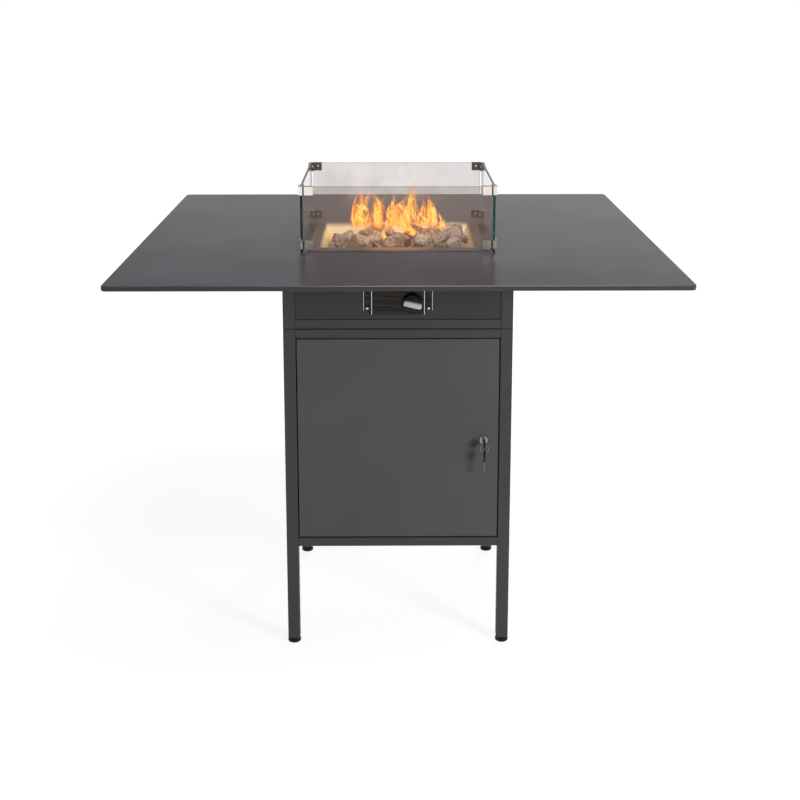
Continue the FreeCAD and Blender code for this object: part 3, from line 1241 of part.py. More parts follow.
def clamp():
    """A corner clamp: outer shell, inner plate and two screws, glass corner at the origin."""
    t = CLAMP_THICKNESS
    g = GLASS_THICKNESS
    reach = CLAMP_REACH
    h = CLAMP_HEIGHT
    outer = block(-t, reach - t, -t, 0, 0, h).fuse(block(-t, 0, -t, reach - t, 0, h)).removeSplitter()
    filler = block(0, g + GLASS_CORNER_GAP, 0, g + GLASS_CORNER_GAP, 0, h)
    shell = outer.fuse(filler).removeSplitter()
    corner = [e for e in shell.Edges if e.BoundBox.ZLength > h - 0.1
              and e.BoundBox.XMax < -t + 0.01 and e.BoundBox.YMax < -t + 0.01]
    shell = shell.makeFillet(CLAMP_CORNER_RADIUS, corner)
    plate_start = reach - t - CLAMP_PLATE
    groove = plate_start - CLAMP_GROOVE_WIDTH
    for cut in (block(groove, plate_start, -t, -t + CLAMP_GROOVE, 0, h),
                block(-t, -t + CLAMP_GROOVE, groove, plate_start, 0, h)):
        shell = shell.cut(cut)
    k = CLAMP_INNER_THICKNESS
    c = g + GLASS_CORNER_GAP
    inner = block(c, reach - t, g, g + k, 0, h)
    inner = inner.fuse([
        block(g, g + k, c, reach - t, 0, h),
        block(c, c + k, g, c + k, 0, h),
        block(g, c + k, c, c + k, 0, h),
    ]).removeSplitter()
    place = plate_start + CLAMP_PLATE / 2
    pair = [
        screw_head(place, g + k, h / 2, CLAMP_SCREW_RADIUS, CLAMP_SCREW_HEIGHT, V(0, 1, 0)),
        screw_head(g + k, place, h / 2, CLAMP_SCREW_RADIUS, CLAMP_SCREW_HEIGHT, V(1, 0, 0)),
    ]
    return shell, inner, pair


def write_parts():
    """Writes each node as its own STEP file."""
    os.makedirs("parts", exist_ok=True)
    for name, shape in parts.items():
        solids = shape if isinstance(shape, list) else [shape]
        flat = [s for piece in solids for s in piece.Solids]
        bad = [s for s in flat if not s.isValid()]
        if bad:
            print("invalid solid in", name)
        Part.makeCompound(flat).exportStep("parts/" + name + ".step")
    print(len(parts), "nodes")


make_lower_module()
make_glides()
make_gasket()
make_upper_module()
make_top()
make_top_fixings()
make_fire_pan()
make_burner()
make_grate()
make_rocks()
make_control_plate()
make_knob()
make_igniter()
make_gas_train()
make_sensors()
make_heat_shield()
make_door()
make_bushes()
make_door_stop()
make_lock()
make_keys()
make_guard()
write_parts()
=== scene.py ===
import math
import random

import bmesh
import bpy
from mathutils import Matrix, Vector


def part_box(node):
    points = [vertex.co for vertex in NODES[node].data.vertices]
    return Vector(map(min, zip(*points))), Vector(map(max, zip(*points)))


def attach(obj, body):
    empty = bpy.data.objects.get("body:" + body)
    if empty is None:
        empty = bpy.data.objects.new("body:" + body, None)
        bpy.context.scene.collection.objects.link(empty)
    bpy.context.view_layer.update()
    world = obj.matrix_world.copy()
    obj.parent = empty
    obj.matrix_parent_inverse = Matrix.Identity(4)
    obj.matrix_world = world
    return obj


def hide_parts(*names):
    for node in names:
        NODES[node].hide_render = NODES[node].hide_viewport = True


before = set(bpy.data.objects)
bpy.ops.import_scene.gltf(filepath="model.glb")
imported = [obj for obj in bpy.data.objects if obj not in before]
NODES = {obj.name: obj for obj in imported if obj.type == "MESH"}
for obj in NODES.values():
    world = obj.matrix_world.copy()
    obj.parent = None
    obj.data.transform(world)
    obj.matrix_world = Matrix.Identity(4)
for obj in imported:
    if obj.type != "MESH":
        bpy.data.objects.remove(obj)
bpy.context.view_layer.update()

bl_info = {
    "name": "Bar-height gas fire table",
    "version": (1, 0, 0),
    "blender": (4, 5, 0),
    "location": "3D View > Sidebar > Fire Table",
    "description": "Dresses the fire table's frame with its fittings, stones, glass, finishes and stage",
    "category": "Object",
}

MM = 0.001

# Sizes that the frame's pieces share, in millimetres; the grip's tilt is in degrees
BURNER_Y = -44.0
GUARD_WIDTH = 477.0
GUARD_DEPTH = 452.0
GUARD_BASE = 1022.0
GUARD_TOP = 1183.0
GLASS = 6.0
GLASS_BEVEL = 0.8
CORNER_GAP = 3.0
CLAMP_HEIGHT = 22.0
CLAMP_REACH = 36.0
CLAMP_SHEET = 3.6
CLAMP_PLATE = 22.0
CLAMP_INNER = 3.0
CLAMP_LEVELS = (1029.0, 1161.8)
CLAMP_CORNER = 7.0
GROOVE_WIDTH = 3.6
GROOVE_DEPTH = 1.8
PLATE_FACE_Y = -300.5
PLATE_SCREW_X = 75.0
PLATE_SCREW_LEVELS = (887.5, 952.5)
TOP_SCREW_INSET = 5.4
KNOB_RADIUS = 25.0
KNOB_DEPTH = 14.0
KNOB_FLUTES = 36
GRIP_TILT = 13.0
KNOB_PLACE = Vector((34.4, -315.2, 902.7))
BUTTON_PLACE = Vector((-45.0, -311.0, 931.0))
LOCK_PLACE = Vector((213.7, -299.0, 548.0))
KEY_HOLE_Y = -335.2
KEY_HOLE_FROM_TOP = 4.4
KEY_HOLE_RADIUS = 2.0
RING_CENTRE = Vector((213.7, KEY_HOLE_Y, 537.2))
RING_RADIUS = 10.0
RING_WIRE = 0.33
LEG_PLACES = [(x, y) for y in (-285.0, 285.0) for x in (-267.5, 267.5)]

# Radius, height and socket width of each kind of screw head, in millimetres
CLAMP_SCREW = (3.6, 2.0, 2.6)
PLATE_SCREW = (4.0, 2.4, 3.2)
TOP_SCREW = (5.3, 3.2, 4.0)
CAM_SCREW = (4.5, 3.0, 3.6)

# Key, in millimetres down from its hole
BOW_MIDDLE = -7.1
BOW_HALF = 11.4
BOW_SQUARENESS = 0.75
COLLAR_ENDS = (-14.0, -23.6)
COLLAR_HALF = 4.0
BLADE_HALF = 3.6
BLADE_TOP = -12.0
BLADE_END = -50.6
BLADE_POINT = 2.2
FIRST_CUT = -24.0
CUT_PITCH = 4.4
CUTS = 5

# Lumps and burnt pits of the lava rocks, in millimetres
LUMP_SIZE = 19.0
PIT_SIZE = 6.0

# The camera: metres, degrees down from level, radians, millimetres twice, and a share of the picture
CAMERA_PLACE = (-0.0221, -3.5066, 1.6664)
CAMERA_TILT = 11.78
CAMERA_TURN = -0.0084
CAMERA_LENS = 60.68
CAMERA_SENSOR = 36.0
CAMERA_SHIFT = -0.17

# The middle part of a noise pattern, in which nearly all of it lies
NOISE = (0.3, 0.7)

# Turns a piece made along +Z to the front
TO_FRONT = Matrix.Rotation(math.pi / 2, 4, "X")


def linear(code):
    """The linear colour of an sRGB hex value."""
    channels = [int(code[i:i + 2], 16) / 255 for i in (1, 3, 5)]
    return tuple(c / 12.92 if c <= 0.04045 else ((c + 0.055) / 1.055) ** 2.4 for c in channels)


def scale_of(size):
    """The scale of a pattern whose features are this size in millimetres."""
    return 1000.0 / size


def add_node(tree, kind, inputs=(), **settings):
    """Adds a node with its settings. Inputs go by name or number, or in order as a tuple, and a node
    given as an input stands for its first working output."""
    node = tree.nodes.new(kind)
    for name, value in settings.items():
        setattr(node, name, value)
    for key, value in inputs.items() if isinstance(inputs, dict) else enumerate(inputs):
        socket = node.inputs[key]
        if isinstance(value, bpy.types.Node):
            value = next(output for output in value.outputs if output.enabled)
        if isinstance(value, bpy.types.NodeSocket):
            tree.links.new(value, socket)
        elif socket.type == "RGBA" and len(value) == 3:
            socket.default_value = (*value, 1.0)
        else:
            socket.default_value = value
    return node


def new_material(name):
    """An empty node material, its tree and its texture coordinates."""
    material = bpy.data.materials.new(name)
    material.use_nodes = True
    tree = material.node_tree
    tree.nodes.clear()
    return material, tree, add_node(tree, "ShaderNodeTexCoord").outputs


def as_mesh(name, bm, sharp):
    """The mesh, in metres, of a shape in millimetres: smooth, but sharp past an angle in degrees."""
    bmesh.ops.scale(bm, vec=(MM, MM, MM), verts=bm.verts)
    mesh = bpy.data.meshes.new(name)
    bm.to_mesh(mesh)
    bm.free()
    mesh.shade_smooth()
    mesh.set_sharp_from_angle(angle=math.radians(sharp))
    return mesh


def new_piece(name, bm, material, body, nodes=(), sharp=35.0):
    """Makes a finished object of a shape in millimetres, on its body and for its nodes."""
    return seat_piece(name, as_mesh(name, bm, sharp), material, body, nodes)


def seat_piece(name, mesh, material, body, nodes=()):
    """Links a mesh as an object that rides on a body and stands for its CAD nodes."""
    piece = bpy.data.objects.new(name, mesh)
    bpy.context.scene.collection.objects.link(piece)
    if material is not None:
        mesh.materials.clear()
        mesh.materials.append(material)
    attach(piece, body)
    if nodes:
        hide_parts(*nodes)
    return piece


def coat(material, *names):
    """Gives CAD nodes a finish."""
    for name in names:
        for slot in NODES[name].material_slots:
            slot.material = material


def moved(bm, matrix):
    """Moves and turns a shape, and returns it."""
    bmesh.ops.transform(bm, matrix=matrix, verts=bm.verts)
    return bm


def join_loops(bm, loops, closed=False):
    """Joins rings of vertices by quads, or by triangles where a ring is a single point."""
    pairs = list(zip(loops, loops[1:]))
    if closed:
        pairs.append((loops[-1], loops[0]))
    for low, high in pairs:
        sides = max(len(low), len(high))
        for i in range(sides):
            k = (i + 1) % sides
            if len(low) == 1:
                bm.faces.new((low[0], high[k], high[i]))
            elif len(high) == 1:
                bm.faces.new((low[i], low[k], high[0]))
            else:
                bm.faces.new((low[i], low[k], high[k], high[i]))


def turned_mesh(rings, sides, closed=False):
    """A mesh turned about +Z through (height, radius) rings; a radius may follow the angle."""
    bm = bmesh.new()
    loops = []
    for height, radius in rings:
        if radius == 0:
            loops.append([bm.verts.new((0, 0, height))])
            continue
        loop = []
        for i in range(sides):
            angle = 2 * math.pi * i / sides
            r = radius(angle) if callable(radius) else radius
            loop.append(bm.verts.new((r * math.cos(angle), r * math.sin(angle), height)))
        loops.append(loop)
    join_loops(bm, loops, closed)
    bmesh.ops.recalc_face_normals(bm, faces=bm.faces)
    return bm


def prism(points, low, high, bevel=0.0, segments=2):
    """An upright prism on a closed outline, with softened edges."""
    bm = bmesh.new()
    ring = [bm.verts.new((x, y, low)) for x, y in points]
    base = bm.faces.new(ring)
    lifted = bmesh.ops.extrude_face_region(bm, geom=[base])
    raised = [v for v in lifted["geom"] if isinstance(v, bmesh.types.BMVert)]
    bmesh.ops.translate(bm, vec=(0, 0, high - low), verts=raised)
    bmesh.ops.recalc_face_normals(bm, faces=bm.faces)
    if bevel:
        edges = [e for e in bm.edges if e.calc_face_angle(0) > math.radians(30)]
        bmesh.ops.bevel(bm, geom=edges, offset=bevel, segments=segments, affect="EDGES", profile=0.5,
                        clamp_overlap=True)
    return bm


def hexagon(across):
    """A radius that follows the angle round a hexagon."""
    return lambda angle: across / 2 / math.cos((angle % (math.pi / 3)) - math.pi / 6)


def squared_ring(half_u, half_v, power_u, power_v, sides):
    """Points of a ring that a power below 1 makes squarer, from its +U end towards +V."""
    points = []
    for i in range(sides):
        angle = 2 * math.pi * i / sides
        c, s = math.cos(angle), math.sin(angle)
        points.append((math.copysign(abs(c) ** power_u, c) * half_u,
                       math.copysign(abs(s) ** power_v, s) * half_v))
    return points


# ---- Geometry Nodes ----


def new_tree(name, inputs):
    """A geometry tree with a geometry input, named inputs and a geometry output."""
    tree = bpy.data.node_groups.new(name, "GeometryNodeTree")
    tree.interface.new_socket(name="Geometry", in_out="INPUT", socket_type="NodeSocketGeometry")
    for label, kind, default in inputs:
        socket = tree.interface.new_socket(name=label, in_out="INPUT", socket_type=kind)
        if default is not None:
            socket.default_value = default
    tree.interface.new_socket(name="Geometry", in_out="OUTPUT", socket_type="NodeSocketGeometry")
    return tree, add_node(tree, "NodeGroupInput").outputs


def close_tree(tree, made, material):
    """Ends a geometry tree: real geometry, with its material set."""
    real = add_node(tree, "GeometryNodeRealizeInstances", (made,))
    dressed = add_node(tree, "GeometryNodeSetMaterial", {"Geometry": real, "Material": material})
    add_node(tree, "NodeGroupOutput", (dressed,))
    return tree


def set_out_tree():
    """Sets a copy of one piece at each point, turned as the point says."""
    tree, given = new_tree("set_out_pieces", [
        ("Piece", "NodeSocketObject", None),
        ("Size", "NodeSocketFloat", 1.0),
        ("Material", "NodeSocketMaterial", None),
    ])
    piece = add_node(tree, "GeometryNodeObjectInfo", {"Object": given["Piece"]},
                     transform_space="ORIGINAL")
    turn = add_node(tree, "GeometryNodeInputNamedAttribute", {"Name": "turn"}, data_type="FLOAT_VECTOR")
    copies = add_node(tree, "GeometryNodeInstanceOnPoints", {
        "Points": given["Geometry"], "Instance": piece.outputs["Geometry"],
        "Rotation": add_node(tree, "FunctionNodeEulerToRotation", (turn,)), "Scale": given["Size"]})
    return close_tree(tree, copies, given["Material"])


def stone_tree():
    """Weathers blocky stones: rounds them, swells them back, and draws lumps and pits into them."""
    tree, given = new_tree("weather_stones", [
        ("Rounding", "NodeSocketInt", 3),
        ("Keep Edges", "NodeSocketFloat", 0.3),
        ("Swell", "NodeSocketFloat", 0.003),
        ("Lump Size", "NodeSocketFloat", 0.02),
        ("Lump Depth", "NodeSocketFloat", 0.004),
        ("Pit Size", "NodeSocketFloat", 0.005),
        ("Pit Depth", "NodeSocketFloat", 0.0012),
        ("Seed", "NodeSocketFloat", 3.0),
        ("Material", "NodeSocketMaterial", None),
    ])
    island = add_node(tree, "GeometryNodeInputMeshIsland")
    chance = add_node(tree, "FunctionNodeRandomValue", {
        "ID": island.outputs["Island Index"], "Seed": 5}, data_type="FLOAT")
    marked = add_node(tree, "GeometryNodeStoreNamedAttribute", {
        "Geometry": given["Geometry"], "Name": "stone_tone", "Value": chance},
        data_type="FLOAT", domain="POINT")
    smooth = add_node(tree, "GeometryNodeSubdivisionSurface", {
        "Mesh": marked, "Level": given["Rounding"], "Edge Crease": given["Keep Edges"]})
    place = add_node(tree, "GeometryNodeInputPosition")
    normal = add_node(tree, "GeometryNodeInputNormal")
    draw = []
    for size, depth, detail in (("Lump Size", "Lump Depth", 2.0), ("Pit Size", "Pit Depth", 3.0)):
        scale = add_node(tree, "ShaderNodeMath", (1.0, given[size]), operation="DIVIDE")
        pattern = add_node(tree, "ShaderNodeTexNoise", {
            "Vector": place, "W": given["Seed"], "Scale": scale, "Detail": detail, "Roughness": 0.6},
            noise_dimensions="4D")
        spread = add_node(tree, "ShaderNodeMapRange", (pattern, 0.35, 0.68, 0.0, 1.0))
        draw.append(add_node(tree, "ShaderNodeMath", (spread, given[depth]), operation="MULTIPLY"))
    total = add_node(tree, "ShaderNodeMath", draw, operation="ADD")
    outward = add_node(tree, "ShaderNodeMath", (given["Swell"], total), operation="SUBTRACT")
    offset = add_node(tree, "ShaderNodeVectorMath", {0: normal, "Scale": outward}, operation="SCALE")
    worn = add_node(tree, "GeometryNodeSetPosition", {"Geometry": smooth, "Offset": offset})
    shaded = add_node(tree, "GeometryNodeSetShadeSmooth", (worn,))
    return close_tree(tree, shaded, given["Material"])


def grown(tree, base, values):
    """The plain mesh that a geometry tree makes of a base mesh with these inputs."""
    holder = bpy.data.objects.new("holder", base)
    bpy.context.scene.collection.objects.link(holder)
    modifier = holder.modifiers.new("tree", "NODES")
    modifier.node_group = tree
    for item in tree.interface.items_tree:
        if item.in_out == "INPUT" and item.name in values:
            modifier[item.identifier] = values[item.name]
    depsgraph = bpy.context.evaluated_depsgraph_get()
    made = bpy.data.meshes.new_from_object(holder.evaluated_get(depsgraph))
    holder.modifiers.clear()
    bpy.data.objects.remove(holder)
    return made


def set_out(name, template, places, material, body, nodes, sharp=35.0):
    """Sets a template shape, in millimetres, out at (place, turn) pairs as one piece."""
    one = bpy.data.objects.new(name + "_one", as_mesh(name + "_one", template, sharp))
    bpy.context.scene.collection.objects.link(one)
    points = bpy.data.meshes.new(name + "_points")
    points.from_pydata([Vector(place) * MM for place, _ in places], [], [])
    turns = points.attributes.new("turn", "FLOAT_VECTOR", "POINT")
    for i, (_, turn) in enumerate(places):
        turns.data[i].vector = turn
    tree = bpy.data.node_groups.get("set_out_pieces") or set_out_tree()
    made = grown(tree, points, {"Piece": one, "Size": 1.0, "Material": material})
    made.name = name
    bpy.data.objects.remove(one)
    return seat_piece(name, made, None, body, nodes)


# ---- Finishes ----
# A colour Mix has its factor at input 0 and its two colours at inputs 6 and 7


def powder_coat(name, colour, settings):
    """Powder-coated steel: matt and even, with the fine orange peel of baked powder."""
    material, tree, at = new_material(name)
    # Grains of about 1.2 mm are finer than a render shows, so the peel is drawn 3 mm across
    peel = add_node(tree, "ShaderNodeTexNoise", {
        "Vector": at["Object"], "Scale": scale_of(3.03), "Detail": 2.0})
    # The coat's depth changes over about 330 mm
    cloud = add_node(tree, "ShaderNodeTexNoise", {
        "Vector": at["Object"], "Scale": scale_of(333.3), "Detail": 3.0})
    shade = add_node(tree, "ShaderNodeMapRange", (cloud, *NOISE, 0.93, 1.07))
    fleck = add_node(tree, "ShaderNodeMapRange", (peel, *NOISE, 0.97, 1.03))
    both = add_node(tree, "ShaderNodeMath", (shade, fleck), operation="MULTIPLY")
    tone = add_node(tree, "ShaderNodeVectorMath", {0: colour, "Scale": both}, operation="SCALE")
    rough = add_node(tree, "ShaderNodeMapRange", (
        peel, *NOISE, settings.coat_roughness - 0.04, settings.coat_roughness + 0.06))
    bump = add_node(tree, "ShaderNodeBump", {"Strength": 0.12, "Distance": 0.0004, "Height": peel})
    shader = add_node(tree, "ShaderNodeBsdfPrincipled", {
        "Base Color": tone, "Roughness": rough, "IOR": 1.5, "Specular IOR Level": 0.35, "Normal": bump})
    add_node(tree, "ShaderNodeOutputMaterial", (shader,))
    return material


def compact_laminate(settings):
    """High-pressure compact laminate in slate: a cloudy satin face over a solid dark core."""
    material, tree, at = new_material("slate_compact_laminate")
    # Clouds of about 300 and 60 mm, and a speckle of about 4 mm
    cloud = add_node(tree, "ShaderNodeTexNoise", {
        "Vector": at["Object"], "Scale": scale_of(294.1), "Detail": 5.0, "Roughness": 0.62,
        "Distortion": 0.5})
    patch = add_node(tree, "ShaderNodeTexNoise", {
        "Vector": at["Object"], "Scale": scale_of(62.5), "Detail": 4.0, "Roughness": 0.6,
        "Distortion": 0.3})
    speck = add_node(tree, "ShaderNodeTexNoise", {
        "Vector": at["Object"], "Scale": scale_of(4.0), "Detail": 2.0})
    wide = add_node(tree, "ShaderNodeMapRange", (cloud, *NOISE, 0.0, 1.0))
    face = add_node(tree, "ShaderNodeMix", {
        0: wide, 6: tuple(settings.top_dark), 7: tuple(settings.top_light)}, data_type="RGBA")
    small = add_node(tree, "ShaderNodeMapRange", (patch, *NOISE, 0.9, 1.1))
    grain = add_node(tree, "ShaderNodeMapRange", (speck, *NOISE, 0.97, 1.03))
    both = add_node(tree, "ShaderNodeMath", (small, grain), operation="MULTIPLY")
    mottled = add_node(tree, "ShaderNodeVectorMath", {0: face, "Scale": both}, operation="SCALE")
    up = add_node(tree, "ShaderNodeSeparateXYZ", (at["Normal"],)).outputs["Z"]
    level = add_node(tree, "ShaderNodeMath", (up,), operation="ABSOLUTE")
    skin = add_node(tree, "ShaderNodeMapRange", (level, 0.1, 0.6, 0.0, 1.0))
    tone = add_node(tree, "ShaderNodeMix", {0: skin, 6: linear("#373638"), 7: mottled}, data_type="RGBA")
    # The milled chamfer round the face is painted a little lighter than the core, as a faint painted
    # highlight
    chamfer_highlight = add_node(tree, "ShaderNodeMath", (up, 0.7, 0.2), operation="COMPARE")
    tone = add_node(tree, "ShaderNodeMix", {0: chamfer_highlight, 6: tone, 7: linear("#434144")}, data_type="RGBA")
    rough = add_node(tree, "ShaderNodeMapRange", (
        patch, *NOISE, settings.top_roughness - 0.006, settings.top_roughness + 0.006))
    shader = add_node(tree, "ShaderNodeBsdfPrincipled", {
        "Base Color": tone, "Roughness": rough, "IOR": 1.45, "Specular IOR Level": 0.29})
    add_node(tree, "ShaderNodeOutputMaterial", (shader,))
    return material


def brush_lines(tree, place, sizes, detail=3.0, roughness=0.65):
    """The straight lines of a brushed grain, by their size on each axis in millimetres."""
    stretch = tuple(scale_of(size) for size in sizes)
    mapped = add_node(tree, "ShaderNodeMapping", {"Vector": place, "Scale": stretch})
    return add_node(tree, "ShaderNodeTexNoise", {
        "Vector": mapped, "Scale": 1.0, "Detail": detail, "Roughness": roughness})


def brushed_steel(name, colour, roughness, sizes, contrast=0.2, recess_shade=None):
    """Stainless with a straight brushed grain, darkened by a painted shade where a face is marked a
    recess.
    """
    material, tree, at = new_material(name)
    lines = brush_lines(tree, at["Object"], sizes)
    # The gloss changes over about 45 mm
    cloud = add_node(tree, "ShaderNodeTexNoise", {
        "Vector": at["Object"], "Scale": scale_of(45.45), "Detail": 3.0})
    shade = add_node(tree, "ShaderNodeMapRange", (lines, *NOISE, 1.0 - contrast, 1.0 + contrast))
    tone = add_node(tree, "ShaderNodeVectorMath", {0: colour, "Scale": shade}, operation="SCALE")
    # A face marked a recess gets painted shade in place of the grain's tone
    if recess_shade:
        recess = add_node(tree, "ShaderNodeAttribute", attribute_name="recess")
        tone = add_node(tree, "ShaderNodeMix", {0: recess.outputs["Fac"], 6: tone, 7: recess_shade},
                        data_type="RGBA")
    spread = add_node(tree, "ShaderNodeMath", (lines, cloud), operation="ADD")
    rough = add_node(tree, "ShaderNodeMapRange", (spread, 0.7, 1.3, roughness - 0.07, roughness + 0.1))
    bump = add_node(tree, "ShaderNodeBump", {
        "Strength": 0.4 * contrast, "Distance": 0.0002, "Height": lines})
    shader = add_node(tree, "ShaderNodeBsdfPrincipled", {
        "Base Color": tone, "Metallic": 1.0, "Roughness": rough, "Normal": bump})
    add_node(tree, "ShaderNodeOutputMaterial", (shader,))
    return material


def steel_with_painted_edge_highlights(settings):
    """Brushed stainless plate, its colour kept dark as a painted reflection of a dark room, with painted
    highlights on its upright edges.
    """
    material, tree, at = new_material("brushed_stainless_painted_dark_reflection")
    # Brush lines along X of about 0.5 mm, drawn 2.4 mm apart so that they show
    lines = brush_lines(tree, at["Object"], (111.1, 2.381, 2.381))
    # The dark plate colour is a painted reflection of a dark room; the brush lines lighten and darken it
    shade = add_node(tree, "ShaderNodeMapRange", (lines, 0.35, 0.65, 0.55, 1.6))
    dark = add_node(tree, "ShaderNodeVectorMath", {0: tuple(settings.plate_dark_painted_reflection), "Scale": shade},
                    operation="SCALE")
    across = add_node(tree, "ShaderNodeSeparateXYZ", (at["Object"],)).outputs["X"]
    out = add_node(tree, "ShaderNodeMath", (across,), operation="ABSOLUTE")
    # The raised face ends at 65.5 mm from its middle and its ears at 84.5 mm
    # The bands along those edges are painted highlights, bright colour in place of light caught by the
    # edges
    highlight_bands = [add_node(tree, "ShaderNodeMath", (out, middle * MM, half * MM), operation="COMPARE")
             for middle, half in ((64.6, 0.9), (84.1, 0.5))]
    edge_highlight = add_node(tree, "ShaderNodeMath", highlight_bands, operation="MAXIMUM")
    tone = add_node(tree, "ShaderNodeMix", {0: edge_highlight, 6: dark, 7: linear("#d3d0cb")}, data_type="RGBA")
    rough = add_node(tree, "ShaderNodeMapRange", (lines, *NOISE, 0.26, 0.42))
    bump = add_node(tree, "ShaderNodeBump", {"Strength": 0.12, "Distance": 0.0002, "Height": lines})
    shader = add_node(tree, "ShaderNodeBsdfPrincipled", {
        "Base Color": tone, "Metallic": 1.0, "Roughness": rough, "Normal": bump})
    add_node(tree, "ShaderNodeOutputMaterial", (shader,))
    return material


def heat_tinted_steel(settings):
    """Stainless pan that the fire has coloured: pale straw on the walls, browner in soft bands."""
    material, tree, at = new_material("heat_tinted_stainless")
    height = add_node(tree, "ShaderNodeSeparateXYZ", (at["Object"],)).outputs["Z"]
    # The walls turn straw-coloured within about 10 mm under the rim
    low = add_node(tree, "ShaderNodeMapRange", (height, 1.0225, 1.012, 0.0, 1.0))
    # Bands of about 110 mm
    cloud = add_node(tree, "ShaderNodeTexNoise", {
        "Vector": at["Object"], "Scale": scale_of(111.1), "Detail": 4.0})
    band = add_node(tree, "ShaderNodeMapRange", (cloud, 0.3, 0.72, 0.0, 0.55))
    straw = add_node(tree, "ShaderNodeMix", {
        0: band, 6: tuple(settings.pan_straw), 7: linear("#f6cf92")}, data_type="RGBA")
    # The rim is coloured copper before and behind the flames, about 160 mm wide
    narrow = add_node(tree, "ShaderNodeVectorMath", (at["Object"], (1.9, 1.0, 1.0)), operation="MULTIPLY")
    reach = add_node(tree, "ShaderNodeVectorMath", (narrow, (0.0, BURNER_Y * MM, 1.023)),
                     operation="DISTANCE")
    near_flames_copper = add_node(tree, "ShaderNodeMapRange", (reach, 0.26, 0.2, 0.0, 0.9))
    rim = add_node(tree, "ShaderNodeMix", {
        0: near_flames_copper, 6: linear("#7a6f64"), 7: linear("#e8a066")}, data_type="RGBA")
    tone = add_node(tree, "ShaderNodeMix", {0: low, 6: rim, 7: straw}, data_type="RGBA")
    # Rolling lines along X of about 0.5 mm, drawn 2.4 mm apart so that they show
    lines = brush_lines(tree, at["Object"], (71.43, 2.381, 2.381), detail=2.0, roughness=0.5)
    rough = add_node(tree, "ShaderNodeMapRange", (lines, *NOISE, 0.3, 0.48))
    bump = add_node(tree, "ShaderNodeBump", {"Strength": 0.1, "Distance": 0.0002, "Height": lines})
    shader = add_node(tree, "ShaderNodeBsdfPrincipled", {
        "Base Color": tone, "Metallic": 0.45, "Roughness": rough, "Normal": bump})
    add_node(tree, "ShaderNodeOutputMaterial", (shader,))
    return material


def plated_metal(name, colour, roughness):
    """Plated or cast metal: bright, with the faint smears that handling leaves."""
    material, tree, at = new_material(name)
    # Smears of about 6 mm
    smear = add_node(tree, "ShaderNodeTexNoise", {
        "Vector": at["Object"], "Scale": scale_of(6.25), "Detail": 4.0})
    rough = add_node(tree, "ShaderNodeMapRange", (
        smear, *NOISE, max(0.03, roughness - 0.06), roughness + 0.1))
    shade = add_node(tree, "ShaderNodeMapRange", (smear, *NOISE, 0.86, 1.05))
    tone = add_node(tree, "ShaderNodeVectorMath", {0: colour, "Scale": shade}, operation="SCALE")
    shader = add_node(tree, "ShaderNodeBsdfPrincipled", {
        "Base Color": tone, "Metallic": 1.0, "Roughness": rough})
    add_node(tree, "ShaderNodeOutputMaterial", (shader,))
    return material


def moulded(name, colour, roughness):
    """Moulded plastic, rubber or fired ceramic with a fine spark-eroded grain."""
    material, tree, at = new_material(name)
    # The grain is about 0.5 mm and is drawn 2 mm across, so that it shows
    grain = add_node(tree, "ShaderNodeTexNoise", {
        "Vector": at["Object"], "Scale": scale_of(2.0), "Detail": 2.0})
    shade = add_node(tree, "ShaderNodeMapRange", (grain, *NOISE, 0.85, 1.15))
    tone = add_node(tree, "ShaderNodeVectorMath", {0: colour, "Scale": shade}, operation="SCALE")
    rough = add_node(tree, "ShaderNodeMapRange", (grain, *NOISE, roughness - 0.05, roughness + 0.08))
    bump = add_node(tree, "ShaderNodeBump", {"Strength": 0.15, "Distance": 0.0002, "Height": grain})
    shader = add_node(tree, "ShaderNodeBsdfPrincipled", {
        "Base Color": tone, "Roughness": rough, "IOR": 1.5, "Specular IOR Level": 0.25, "Normal": bump})
    add_node(tree, "ShaderNodeOutputMaterial", (shader,))
    return material


